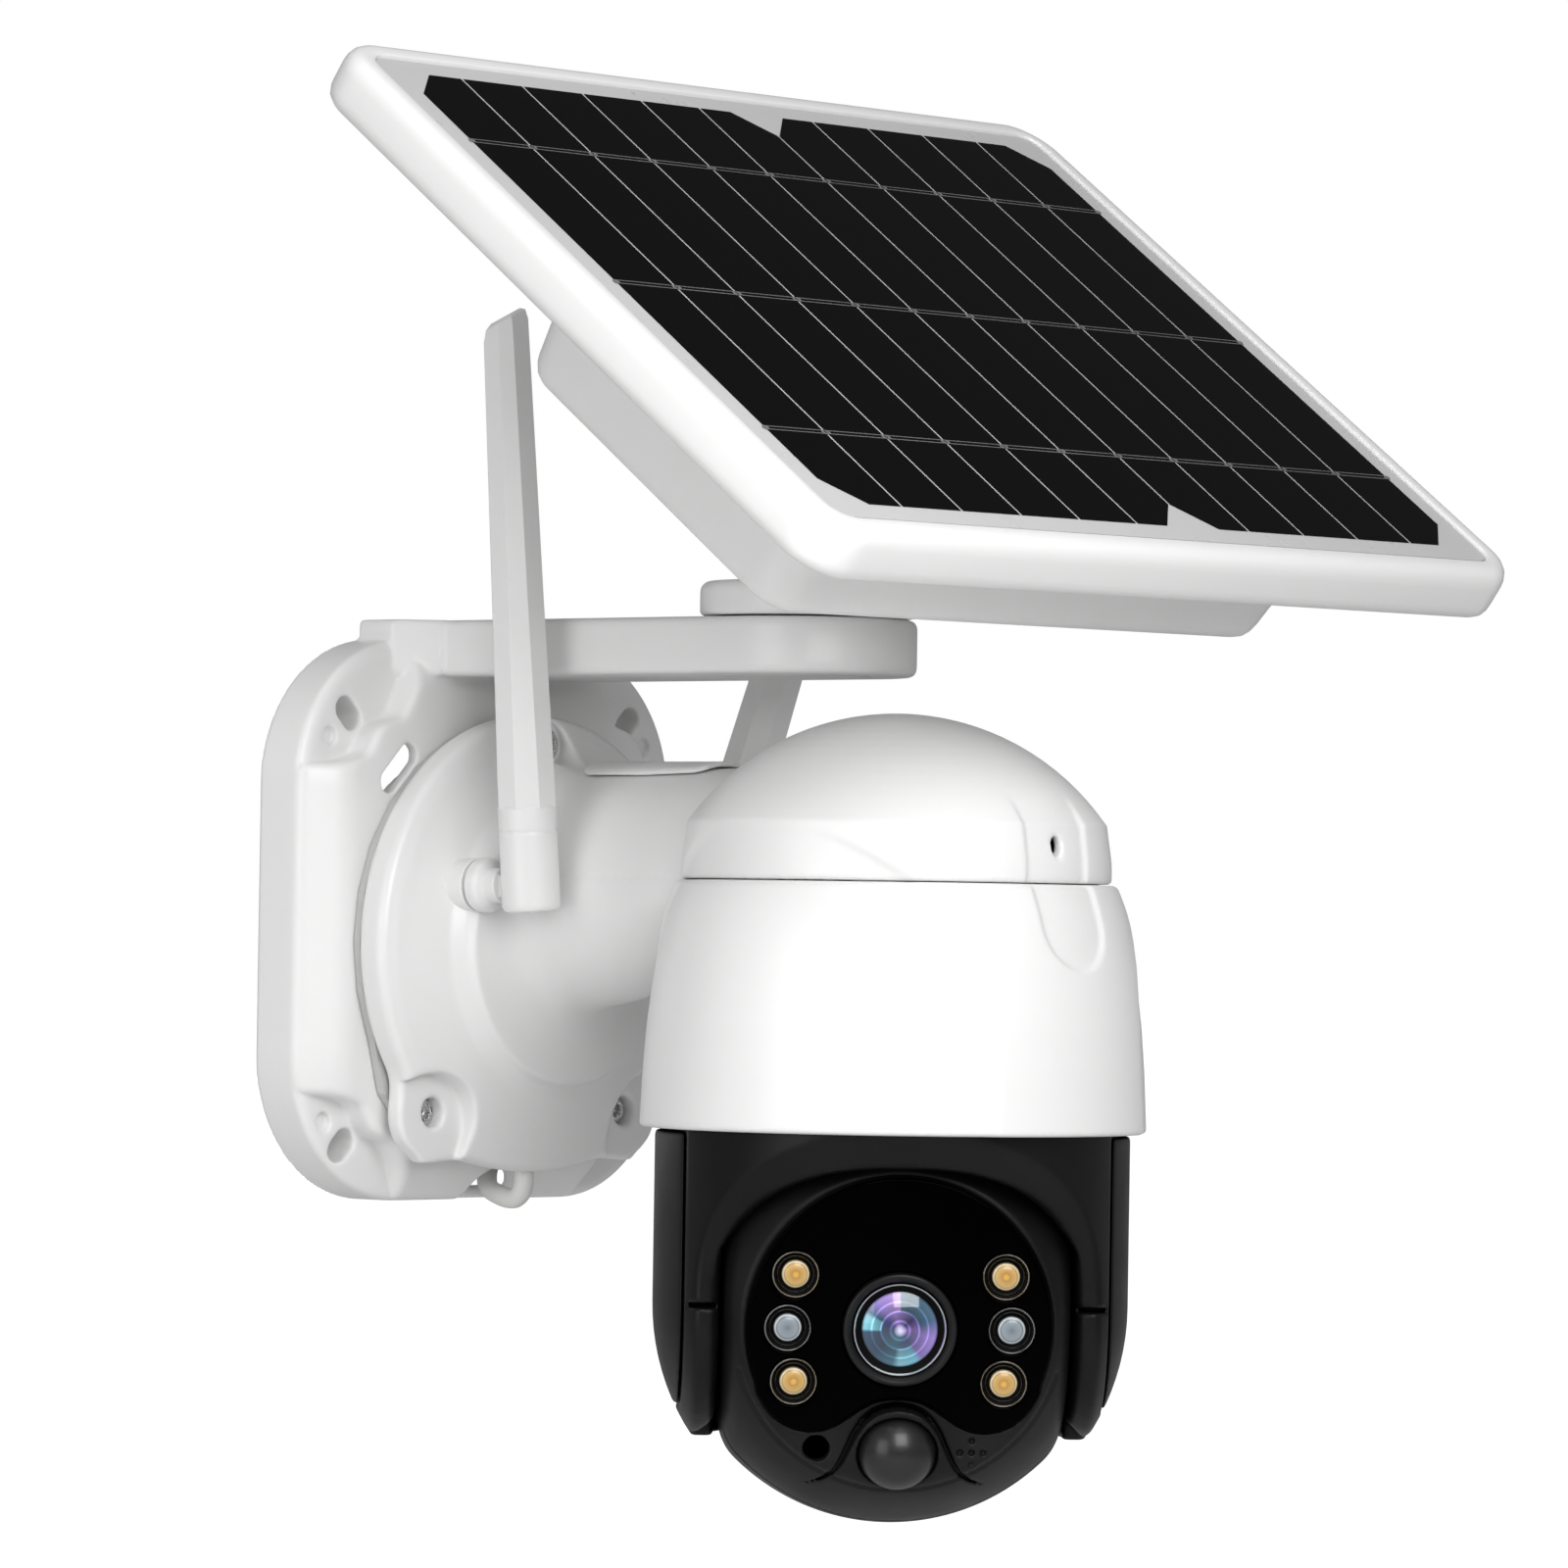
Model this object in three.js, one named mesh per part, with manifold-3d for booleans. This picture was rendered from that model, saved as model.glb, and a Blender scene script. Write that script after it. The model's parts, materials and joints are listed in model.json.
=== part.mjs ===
// Solar-powered pan and tilt security camera on a wall bracket.
// Millimetres, +Z up. The wall is the plane y = 0 and the camera stands out along -Y.
// The origin is the centre of the wall plate's back face.
import * as THREE from 'three';
import { mergeVertices } from 'three/addons/utils/BufferGeometryUtils.js';
import Module from 'manifold-3d';

const wasm = await Module();
wasm.setup();

// ---------- driving dimensions ----------
const GAP = 0.3;                 // clearance between neighbouring pieces
const WALL = 2.5;                // moulded wall thickness

const PLATE_WIDTH = 116;
const PLATE_TOP = 58;
const PLATE_BOTTOM = -62.3;
const PLATE_CORNER = 32;
const PLATE_SIDE_DEPTH = 12.2;
const PLATE_DEPTH = 18.7;
const PLATE_CHAMFER = 8;
const PLATE_SCREW = { x: 43.5, z: 46 };
const PLATE_DIMPLE = { x: 49, z: 41 };
const PLATE_POCKET = { x: 54, z: 61.3, radius: 26 };
const PLATE_SLOT = { at: 34.5, width: 5, length: 13 };
const PATTERN_Z = -4.3;          // middle of the plate's holes and pockets, clear of the arm
const NOTCH_RADIUS = 7;

const ARM_TOP = 62.2;
const ARM_BOTTOM = 50.2;
const ARM_HALF_WIDTH = 22.8;
const ARM_END_Y = -104;

const DISC_TOP = 69.8;
const HINGE_Z = 88.5;
const HINGE_BOLT_RADIUS = 2.4;

const PANEL_SLOPE = 36.6;
const GLASS = { width: 208, height: 161.3, thickness: 2.6 };
const GLASS_CENTRE = { y: -139.7, z: 125.3 };
const TRAY_RIM = 6;
const TRAY_DEPTH = 12.2;
const BOX = { width: 162, height: 94.5, v: -14.3, bottom: -39.7, draft: 3 };

const FLANGE_BACK = -21.1;
const FLANGE_RADIUS = 49;
const FLANGE_Z = -6.7;
const FLANGE_RIM = 7;
const LUG_SCREW = { x: 29.8, z: -43 };
const TOP_SCREW_Z = 36;
const LUG_WELL = 3.2;            // radius of the deep hole that each lower screw sits in
const ELBOW_Z = 5.4;
const ELBOW_HEIGHT = 25.5;
const CARD_COVER = 9;            // half width of the lid on top of the elbow
const CONNECTOR = { x: 28.5, z: 5.5 };
const ANTENNA_Y = -52;
const ANTENNA_LENGTH = 127;
const ANTENNA_BELOW = 5.5;
const ANTENNA_RADIUS = 6.2;
const LEFT_LEAN = 5;
const RIGHT_LEAN = 22.8;

const HEAD_Y = -129.5;
const HEAD_TURN = -45.3;
const SEAM_Z = 7.5;
const DOME_RIM = 43.4;
const DOME_SPHERE = 52.8;
const DOME_TOP = 31.2;
const SKIRT_BOTTOM = -43.9;
const CHASSIS = { top: -14, bottom: -17, radius: 46.8 };

const YOKE_TOP = -29;
const YOKE_RADIUS = 49.2;
const YOKE_CURVE_Z = -80;
const YOKE_BOTTOM = -107.7;
const ARM_INNER = 36.2;
const YOKE_ARCH = { height: 28.5, power: 2.5 };
const COVER_X = 43.5;
const COVER_BOTTOM = -101;

const BALL_Z = -79.3;
const BALL_RADIUS = 45.7;
const BALL_SIDE = 35.5;
const BALL_REST_TILT = 7.2;
const FACE_Y = -33.3;
const FACE_RADIUS = 31.3;
const BALL_PARTING_Y = -14;
const TRUNNION_RADIUS = 6;

const GEAR_MODULE = 1;
const PAN_TEETH = 40;
const PAN_PINION_TEETH = 12;
const TILT_TEETH = 20;
const TILT_PINION_TEETH = 9;
const PAN_MOTOR_X = GEAR_MODULE * (PAN_TEETH + PAN_PINION_TEETH) / 2;
const TILT_MOTOR_Z = GEAR_MODULE * (TILT_TEETH + TILT_PINION_TEETH) / 2;

const LEAD_RADIUS = 2.2;
const ROUND = 28;                // facets round a large turned piece
const SMALL_ROUND = 12;

const radians = THREE.MathUtils.degToRad;

// ---------- materials ----------
function material(color, roughness, metalness = 0) {
  return new THREE.MeshStandardMaterial({ color, roughness, metalness });
}
const white = material(0xe9e9e8, 0.45);
const black = material(0x151517, 0.4);
const gloss = material(0x050506, 0.08);
const steel = material(0xb5b7ba, 0.3, 1);
const rubber = material(0xb9b9b7, 0.8);
const glass = material(0x10141c, 0.05);
const board = material(0x1e5a34, 0.5);
const nylon = material(0xd9d7cd, 0.6);
const lamp = material(0xf2d27a, 0.2);
const copper = material(0x8a8d92, 0.35, 1);

// ---------- solids ----------
function solid(geometry) {
  const bare = geometry.clone();
  bare.deleteAttribute('normal');
  bare.deleteAttribute('uv');
  const merged = mergeVertices(bare, 1e-4);
  const vertProperties = new Float32Array(merged.attributes.position.array);
  const triVerts = new Uint32Array(merged.index.array);
  const body = new wasm.Manifold(new wasm.Mesh({ numProp: 3, vertProperties, triVerts }));
  if (body.volume() > 0) return body;
  const flipped = triVerts.slice();
  for (let i = 0; i < flipped.length; i += 3) {
    flipped[i] = triVerts[i + 1];
    flipped[i + 1] = triVerts[i];
  }
  return new wasm.Manifold(new wasm.Mesh({ numProp: 3, vertProperties, triVerts: flipped }));
}

function geometryOf(body) {
  const mesh = body.simplify(0.02).getMesh();
  const geometry = new THREE.BufferGeometry();
  geometry.setAttribute('position', new THREE.BufferAttribute(mesh.vertProperties, mesh.numProp));
  geometry.setIndex(new THREE.BufferAttribute(mesh.triVerts, 1));
  const facets = geometry.toNonIndexed();
  facets.computeVertexNormals();
  return facets;
}

function join(...bodies) {
  return bodies.reduce((sum, body) => sum.add(body));
}

function cut(body, ...tools) {
  return tools.reduce((rest, tool) => rest.subtract(tool), body);
}

// A box from its low and high corners.
function box(low, high) {
  const size = high.map((value, i) => value - low[i]);
  const geometry = new THREE.BoxGeometry(...size);
  geometry.translate(...low.map((value, i) => value + size[i] / 2));
  return solid(geometry);
}

// A turned piece about Z: the outline is [radius, z] pairs that run once round the section.
function turned(outline, facets = ROUND) {
  const points = outline.map(([radius, z]) => new THREE.Vector2(radius, z));
  const closed = outline[0][0] > 0 || outline[outline.length - 1][0] > 0;
  if (closed) points.push(points[0].clone());
  return solid(new THREE.LatheGeometry(points, facets).rotateX(Math.PI / 2));
}

function rod(radius, low, high, facets = SMALL_ROUND) {
  return turned([[0, low], [radius, low], [radius, high], [0, high]], facets);
}

function ball(radius, facets = ROUND) {
  return solid(new THREE.SphereGeometry(radius, facets, facets / 2).rotateX(Math.PI / 2));
}

// A flat outline, drawn in X and Y, thickened from low to high along Z.
function slab(points, low, high) {
  const shape = new THREE.Shape(points);
  const geometry = new THREE.ExtrudeGeometry(shape, { depth: high - low, bevelEnabled: false });
  geometry.translate(0, 0, low);
  return solid(geometry);
}

// Turns a body made along +Z so that it runs along -Y; its own Y becomes Z.
function outward(body) {
  return body.rotate([90, 0, 0]);
}

// Turns a body made along +Z so that it runs along +X.
function sideways(body) {
  return body.rotate([0, 90, 0]);
}

// A body through a row of rings of equal point counts, with flat ends.
function loft(rings) {
  const count = rings[0].length;
  const position = rings.flat().flatMap((point) => [point.x, point.y, point.z]);
  const index = [];
  for (let ring = 0; ring + 1 < rings.length; ring += 1) {
    for (let i = 0; i < count; i += 1) {
      const a = ring * count + i;
      const b = ring * count + (i + 1) % count;
      index.push(a, b, b + count, a, b + count, a + count);
    }
  }
  const last = (rings.length - 1) * count;
  for (let i = 1; i + 1 < count; i += 1) {
    index.push(0, i + 1, i);
    index.push(last, last + i, last + i + 1);
  }
  const geometry = new THREE.BufferGeometry();
  geometry.setAttribute('position', new THREE.Float32BufferAttribute(position, 3));
  geometry.setIndex(index);
  return solid(geometry);
}

// ---------- outlines ----------
function circle(radius, facets = ROUND, cx = 0, cy = 0) {
  const points = [];
  for (let i = 0; i < facets; i += 1) {
    const angle = 2 * Math.PI * i / facets;
    points.push(new THREE.Vector2(cx + radius * Math.cos(angle), cy + radius * Math.sin(angle)));
  }
  return points;
}

function roundedRect(width, height, radius, steps = 6) {
  const points = [];
  const corners = [[1, 1], [-1, 1], [-1, -1], [1, -1]];
  corners.forEach(([sx, sy], corner) => {
    for (let i = 0; i <= steps; i += 1) {
      const angle = Math.PI / 2 * (corner + i / steps);
      const x = sx * (width / 2 - radius) + radius * Math.cos(angle);
      const y = sy * (height / 2 - radius) + radius * Math.sin(angle);
      points.push(new THREE.Vector2(x, y));
    }
  });
  return points;
}

function oblong(length, width, steps = 6) {
  return roundedRect(length, width, width / 2 - 0.01, steps);
}

function inPlaneY(points, y) {
  return points.map((point) => new THREE.Vector3(point.x, y, point.y));
}

function inPlaneZ(points, z) {
  return points.map((point) => new THREE.Vector3(point.x, point.y, z));
}

// An arc of [radius, z] pairs on a sphere about the Z axis, from one latitude to another.
function sphereArc(radius, centre, from, to, steps) {
  const points = [];
  for (let i = 0; i <= steps; i += 1) {
    const latitude = radians(from + (to - from) * i / steps);
    points.push([radius * Math.cos(latitude), centre + radius * Math.sin(latitude)]);
  }
  return points;
}

// A spur gear about Z with straight-sided teeth and a little backlash.
function spurGear(teeth, low, high, phase = 0) {
  const pitch = GEAR_MODULE * teeth / 2;
  const root = pitch - 1.3 * GEAR_MODULE;
  const tip = pitch + 0.75 * GEAR_MODULE;
  const step = 2 * Math.PI / teeth;
  const profile = [[-0.33, root], [-0.13, tip], [0.13, tip], [0.33, root]];
  const points = [];
  for (let tooth = 0; tooth < teeth; tooth += 1) {
    for (const [share, radius] of profile) {
      const angle = phase + step * (tooth + share);
      points.push(new THREE.Vector2(radius * Math.cos(angle), radius * Math.sin(angle)));
    }
  }
  return slab(points, low, high);
}

// ---------- scene graph ----------
const camera = new THREE.Group();
const head = new THREE.Group();
head.position.set(0, HEAD_Y, 0);
const pan = new THREE.Group();
pan.rotation.z = radians(HEAD_TURN);
const tilt = new THREE.Group();
tilt.position.set(0, 0, BALL_Z);
tilt.rotation.x = radians(BALL_REST_TILT);
const panel = new THREE.Group();
panel.position.set(0, GLASS_CENTRE.y, GLASS_CENTRE.z);
panel.rotation.x = radians(PANEL_SLOPE);
camera.add(head, panel);
head.add(pan);
pan.add(tilt);

function place(parent, name, body, finish) {
  const mesh = new THREE.Mesh(geometryOf(body), finish);
  mesh.name = name;
  parent.add(mesh);
  return mesh;
}

// ---------- wall bracket ----------
function plateRing(y, inset) {
  const outline = roundedRect(PLATE_WIDTH - 2 * inset, PLATE_TOP - PLATE_BOTTOM - 2 * inset, PLATE_CORNER - inset, 5);
  return inPlaneY(outline, y).map((point) => point.setZ(point.z + (PLATE_TOP + PLATE_BOTTOM) / 2));
}

function atCorners(at, make) {
  const bodies = [];
  for (const sx of [-1, 1]) {
    for (const sz of [-1, 1]) {
      bodies.push(make(sx, sz).translate([sx * at.x, 0, sz * at.z + PATTERN_Z]));
    }
  }
  return bodies;
}

function armOutline(halfWidth, rootY, endRadius) {
  const shape = new THREE.Shape();
  shape.moveTo(halfWidth, rootY);
  shape.lineTo(-halfWidth, rootY);
  shape.lineTo(-halfWidth, ARM_END_Y);
  shape.absarc(0, ARM_END_Y, endRadius, Math.PI, 2 * Math.PI, false);
  return shape.extractPoints(10).shape;
}

function wallBracket() {
  const plate = loft([plateRing(0, 0), plateRing(-PLATE_SIDE_DEPTH, 0), plateRing(-PLATE_DEPTH, PLATE_CHAMFER)]);
  const arm = slab(armOutline(ARM_HALF_WIDTH, -6, ARM_HALF_WIDTH), ARM_BOTTOM, ARM_TOP);
  const flare = slab([
    new THREE.Vector2(31, -2), new THREE.Vector2(-31, -2), new THREE.Vector2(-31, -12.2),
    new THREE.Vector2(-ARM_HALF_WIDTH, -20.5), new THREE.Vector2(ARM_HALF_WIDTH, -20.5),
    new THREE.Vector2(31, -12.2),
  ], ARM_BOTTOM, ARM_TOP);

  const shallow = loft([plateRing(1, 3), plateRing(-9.2, 3)]);
  const deep = loft([plateRing(-9, 3), plateRing(-11, 3), plateRing(-15.7, 10.5)]);
  const pocketWall = outward(rod(PLATE_POCKET.radius + WALL, -1, 20, ROUND));
  const pocketWalls = atCorners(PLATE_POCKET, () => pocketWall);
  const pillars = atCorners(PLATE_SCREW, () => outward(rod(7, -2, 16)));
  const boss = outward(rod(14, -2, 16.5));
  const rib = cut(box([-56.5, -16, -1.5], [56.5, 2, 1.5]), box([15.5, -17, -2], [25.5, -5, 2]));
  const hollow = cut(join(shallow, cut(deep, ...pocketWalls)), ...pillars, boss, rib);

  const pocket = outward(rod(PLATE_POCKET.radius, PLATE_SIDE_DEPTH, 20, ROUND));
  const pockets = atCorners(PLATE_POCKET, () => pocket);
  const screwHoles = atCorners(PLATE_SCREW, (sx, sz) => (
    outward(slab(oblong(8, 5.5, 4), -1, 20).rotate([0, 0, sx * sz * 45]))));
  const dimples = atCorners(PLATE_DIMPLE, () => outward(rod(2, PLATE_SIDE_DEPTH - 1, 20, 12)));
  const slots = atCorners({ x: PLATE_SLOT.at, z: PLATE_SLOT.at }, (sx, sz) => (
    outward(slab(oblong(PLATE_SLOT.length, PLATE_SLOT.width, 4), -1, 20).rotate([0, 0, -sx * sz * 45]))));
  const notch = outward(rod(NOTCH_RADIUS, 6, 20, SMALL_ROUND)).translate([0, 0, PLATE_BOTTOM]);

  const channel = slab(armOutline(10, -22, 10), ARM_BOTTOM - 1, ARM_TOP - WALL);
  const rebate = slab(armOutline(13, -22, 13), ARM_BOTTOM - 1, ARM_BOTTOM + 2.3);
  const passage = join(box([-6, -25, 52.4], [6, -5, 58.6]), box([-6, -16, 48], [6, -5, 55]));
  const spigotHole = rod(9.4, 50, 70).translate([0, ARM_END_Y, 0]);
  const clearArm = cut(join(...pockets), box([-ARM_HALF_WIDTH - 8.2, -30, ARM_BOTTOM], [ARM_HALF_WIDTH + 8.2, 1, 70]));
  const shell = cut(join(cut(plate, clearArm), arm, flare), hollow, ...screwHoles, ...dimples, ...slots, notch);
  return cut(shell, channel, rebate, passage, spigotHole);
}

place(camera, 'wall_bracket', wallBracket(), white);
place(camera, 'arm_cable_cover', slab(armOutline(12.7, -22.3, 12.7), ARM_BOTTOM, ARM_BOTTOM + 2), white);

// ---------- solar swivel ----------
const LUG = { inner: 7, outer: 12, radius: 7.5 };

function atHinge(body) {
  return body.translate([0, ARM_END_Y, HINGE_Z]);
}

function lug(side) {
  const low = side > 0 ? LUG.inner : -LUG.outer;
  const upright = box([low, -LUG.radius, DISC_TOP - 0.5 - HINGE_Z], [low + 5, LUG.radius, 0]);
  const eye = sideways(rod(LUG.radius, low, low + 5, 16));
  const boltHole = sideways(rod(HINGE_BOLT_RADIUS + GAP, low - 1, low + 6));
  return atHinge(cut(join(upright, eye), boltHole));
}

function swivelBracket() {
  const base = ARM_TOP + GAP;
  const disc = turned([[0, ARM_TOP - 2.7], [9, ARM_TOP - 2.7], [9, base], [22.2, base], [22.8, base + 0.6], [22.8, DISC_TOP - 2],
    [20.8, DISC_TOP], [0, DISC_TOP]]);
  const bore = rod(4, 50, 80);
  return join(cut(disc, bore).translate([0, ARM_END_Y, 0]), lug(1), lug(-1));
}

function hingeBolt() {
  const shank = sideways(rod(HINGE_BOLT_RADIUS, -17, 12.5));
  const bolt = sideways(turned([[0, 12.3], [4.6, 12.3], [4.6, 13.6], [3.2, 15.3], [0, 15.6]], SMALL_ROUND));
  return atHinge(join(shank, bolt));
}

function hingeNut() {
  const nut = cut(rod(4.6, -16, -12.3, 6), rod(HINGE_BOLT_RADIUS + GAP, -20, 0));
  return atHinge(sideways(nut));
}

place(camera, 'swivel_bracket', swivelBracket(), white);
place(camera, 'hinge_bolt', hingeBolt(), steel);
place(camera, 'hinge_nut', hingeNut(), steel);

// ---------- solar panel, in its own frame: X across, Y up the slope, Z out of the glass ----------
const hingeY = ARM_END_Y - GLASS_CENTRE.y;
const hingeZ = HINGE_Z - GLASS_CENTRE.z;
const slope = radians(PANEL_SLOPE);
const HINGE_V = hingeY * Math.cos(slope) + hingeZ * Math.sin(slope);
const HINGE_N = -hingeY * Math.sin(slope) + hingeZ * Math.cos(slope);

function trayRing(z, inset, radius) {
  const width = GLASS.width + 2 * (TRAY_RIM - inset);
  const height = GLASS.height + 2 * (TRAY_RIM - inset);
  return inPlaneZ(roundedRect(width, height, radius - inset, 4), z);
}

function panelFrame() {
  const outer = loft([trayRing(-TRAY_DEPTH, 2.5, 11), trayRing(-TRAY_DEPTH + 2.5, 0, 11), trayRing(-2, 0, 11),
    trayRing(0, 1.6, 11)]);
  const recess = slab(roundedRect(GLASS.width + 0.6, GLASS.height + 0.6, 4.3, 3), -3.8, 1);
  const hollow = slab(roundedRect(GLASS.width - 10, GLASS.height - 10, 3, 3), -TRAY_DEPTH + WALL, 0);
  const cableHole = rod(5, -20, 0).translate([50, BOX.v, 0]);
  return cut(outer, recess, hollow, cableHole);
}

function boxRing(z, inset) {
  const ring = roundedRect(BOX.width - 2 * inset, BOX.height - 2 * inset, 12 - Math.min(inset, 6), 4);
  return inPlaneZ(ring, z).map((point) => point.add(new THREE.Vector3(0, BOX.v, 0)));
}

function rearBox() {
  const top = -TRAY_DEPTH - GAP;
  const outer = loft([boxRing(BOX.bottom, BOX.draft + 2), boxRing(BOX.bottom + 2, BOX.draft), boxRing(top, 0)]);
  const inner = loft([boxRing(BOX.bottom + WALL, BOX.draft + WALL), boxRing(top + 1, WALL)]);
  return cut(outer, inner);
}

function panelKnuckle() {
  const face = BOX.bottom - GAP;
  const foot = loft([
    inPlaneZ(roundedRect(34, 26, 5, 3), face - 2),
    inPlaneZ(roundedRect(36, 28, 5, 3), face),
  ]).translate([0, HINGE_V, 0]);
  const half = LUG.inner - GAP;
  const eye = sideways(rod(LUG.radius, -half, half, 16)).translate([0, HINGE_V, HINGE_N]);
  const web = box([-half, HINGE_V - LUG.radius, HINGE_N], [half, HINGE_V + LUG.radius, face - 1]);
  const boltHole = sideways(rod(HINGE_BOLT_RADIUS + GAP, -20, 20)).translate([0, HINGE_V, HINGE_N]);
  return cut(join(foot, eye, web), boltHole);
}

function batteryPack() {
  const cells = [];
  for (let i = 0; i < 6; i += 1) {
    cells.push(rod(9.4, -32.5, 32.5, 12).translate([(i - 2.5) * 18.4, 0, 0]));
  }
  return join(...cells).rotate([90, 0, 0]).translate([-14, BOX.v, BOX.bottom + WALL + 9.8]);
}

place(panel, 'panel_frame', panelFrame(), white);
place(panel, 'panel_glass', slab(roundedRect(GLASS.width, GLASS.height, 4, 3), -GLASS.thickness, 0), glass);
place(panel, 'cell_laminate', slab(roundedRect(GLASS.width, GLASS.height, 4, 3), -3.5, -2.9), gloss);
place(panel, 'battery_box', rearBox(), white);
place(panel, 'panel_knuckle', panelKnuckle(), white);
place(panel, 'battery_pack', batteryPack(), copper);
place(panel, 'charge_board', box([48, BOX.v - 30, -36], [70, BOX.v + 30, -34.4]), board);

// ---------- camera base, elbow and dome ----------
// Heights along -Y at which the screws and the antenna connectors seat.
const lugSeat = -FLANGE_BACK + 1;
const topSeat = -FLANGE_BACK + FLANGE_RIM - 1;
const CONNECTOR_SEAT = 27.6;

function flangeOutline(inset) {
  const shape = [];
  const facets = ROUND;
  const lugReach = 9 - inset;
  for (let i = 0; i < facets; i += 1) {
    const angle = 2 * Math.PI * i / facets;
    let x = (FLANGE_RADIUS - inset) * Math.cos(angle);
    let z = FLANGE_Z + (FLANGE_RADIUS - inset) * Math.sin(angle);
    const lower = Math.sin(angle) < -0.55 && Math.abs(Math.cos(angle)) > 0.3;
    if (lower) {
      const away = Math.abs(Math.abs(Math.cos(angle)) - 0.63) / 0.4;
      const push = lugReach * 0.55 * Math.max(0, 1 - away * away);
      x += push * Math.sign(Math.cos(angle)) * 0.7;
      z -= push * 0.7;
    }
    shape.push(new THREE.Vector2(x, z));
  }
  return shape;
}

// A half width and lower height of the elbow at a place along Y, grown by a margin.
function elbowRing(y, grow) {
  const along = THREE.MathUtils.smoothstep(-y, 44, 92);
  const halfWidth = THREE.MathUtils.lerp(20.5, 26, THREE.MathUtils.smoothstep(-y, 62, 95)) + grow;
  const above = ELBOW_HEIGHT + grow;
  const below = THREE.MathUtils.lerp(ELBOW_HEIGHT, 13.5, along) + grow;
  const ring = [];
  for (let i = 0; i < 24; i += 1) {
    const angle = 2 * Math.PI * i / 24;
    const height = Math.sin(angle) > 0 ? above : below;
    ring.push(new THREE.Vector3(halfWidth * Math.cos(angle), y, ELBOW_Z + height * Math.sin(angle)));
  }
  return ring;
}

function elbow(grow, from, to) {
  const rings = [];
  const steps = 6;
  for (let i = 0; i <= steps; i += 1) {
    rings.push(elbowRing(from + (to - from) * i / steps, grow));
  }
  return loft(rings);
}

function domeOutline(radius, rim, bottom) {
  const centre = DOME_TOP - DOME_SPHERE;
  const start = THREE.MathUtils.radToDeg(Math.acos(rim / radius));
  return [[0, bottom], [rim, bottom], ...sphereArc(radius, centre, start, 84, 5), [0, centre + radius]];
}

function atHead(body) {
  return body.translate([0, HEAD_Y, 0]);
}

function atConnector(side, body) {
  return outward(body).translate([side * CONNECTOR.x, 0, CONNECTOR.z]);
}

function cameraBase() {
  const back = FLANGE_BACK;
  const rim = loft([
    inPlaneY(flangeOutline(0), back),
    inPlaneY(flangeOutline(0), back - FLANGE_RIM),
    inPlaneY(circle(31, ROUND, 0, FLANGE_Z), back - FLANGE_RIM - 6),
    inPlaneY(circle(30, ROUND, 0, FLANGE_Z), back - FLANGE_RIM - 9),
  ]);
  const dome = atHead(turned(domeOutline(DOME_SPHERE, DOME_RIM, SEAM_Z)));
  const aboveSeam = box([-60, HEAD_Y - 5, SEAM_Z], [60, -20, 60]);
  const behindHead = box([-60, HEAD_Y + 44, -60], [60, -20, 60]);
  const outer = join(rim, elbow(0, -30, HEAD_Y + 17).intersect(join(aboveSeam, behindHead)), dome);

  const backHollow = loft([inPlaneY(flangeOutline(WALL), back + 1), inPlaneY(flangeOutline(WALL), back - 5.5)]);
  const lugPosts = [-1, 1].map((side) => (
    outward(rod(6.5, 18, 40)).translate([side * LUG_SCREW.x, 0, LUG_SCREW.z])));
  const topPost = outward(rod(5.5, 18, 40)).translate([0, 0, TOP_SCREW_Z]);
  const connectorPosts = [-1, 1].map((side) => atConnector(side, rod(8, 18, 30)));
  const elbowHollow = elbow(-WALL, -20, HEAD_Y + 25);
  const domeHollow = atHead(turned(domeOutline(DOME_SPHERE - WALL, DOME_RIM - WALL, SEAM_Z - 30)));
  const screwHoles = [
    ...[-1, 1].map((side) => outward(rod(1.9, 18, 45)).translate([side * LUG_SCREW.x, 0, LUG_SCREW.z])),
    outward(rod(1.9, 18, 45)).translate([0, 0, TOP_SCREW_Z]),
  ];
  const lugWell = outward(join(rod(5.4, -back + FLANGE_RIM - 2.5, 45), rod(LUG_WELL, lugSeat, 45, 16)));
  const lugPockets = [-1, 1].map((side) => lugWell.translate([side * LUG_SCREW.x, 0, LUG_SCREW.z]));
  const topPocket = outward(rod(4.6, topSeat, 45)).translate([0, 0, TOP_SCREW_Z]);
  const connectorPockets = [-1, 1].map((side) => atConnector(side, rod(5.4, CONNECTOR_SEAT, 45, 16)));
  const connectorHoles = [-1, 1].map((side) => atConnector(side, rod(2.4, 18, 45)));
  const leadHole = rod(2.9, -70, -45, 16).translate([0, back - 3.2, 0]);
  const pocketed = cut(outer, ...lugPockets, topPocket, ...connectorPockets);
  const hollow = cut(backHollow, ...lugPosts, topPost, ...connectorPosts);
  return cut(pocketed, hollow, elbowHollow, domeHollow, ...screwHoles, ...connectorHoles, leadHole);
}

function baseGasket() {
  const sheet = loft([inPlaneY(flangeOutline(1.2), -PLATE_DEPTH - GAP), inPlaneY(flangeOutline(1.2), FLANGE_BACK + GAP)]);
  const holes = [
    ...[-1, 1].map((side) => outward(rod(2.2, 10, 30)).translate([side * LUG_SCREW.x, 0, LUG_SCREW.z])),
    outward(rod(2.2, 10, 30)).translate([0, 0, TOP_SCREW_Z]),
  ];
  return cut(sheet, ...holes);
}

function cardCover() {
  const shell = cut(elbow(1.7, -44, HEAD_Y + 43), elbow(GAP, -40, HEAD_Y + 39));
  return shell.intersect(box([-CARD_COVER, HEAD_Y + 47, ELBOW_Z], [CARD_COVER, -46, 60]));
}

function flangeScrew(seat, radius) {
  const tip = PLATE_DEPTH + GAP;
  const crown = seat + 2.6;
  const body = turned([[0, tip], [1.6, tip], [1.6, seat + GAP], [radius, seat + GAP], [radius, seat + 1.4],
    [radius * 0.65, crown], [0, crown]], SMALL_ROUND);
  return outward(body);
}

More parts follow.
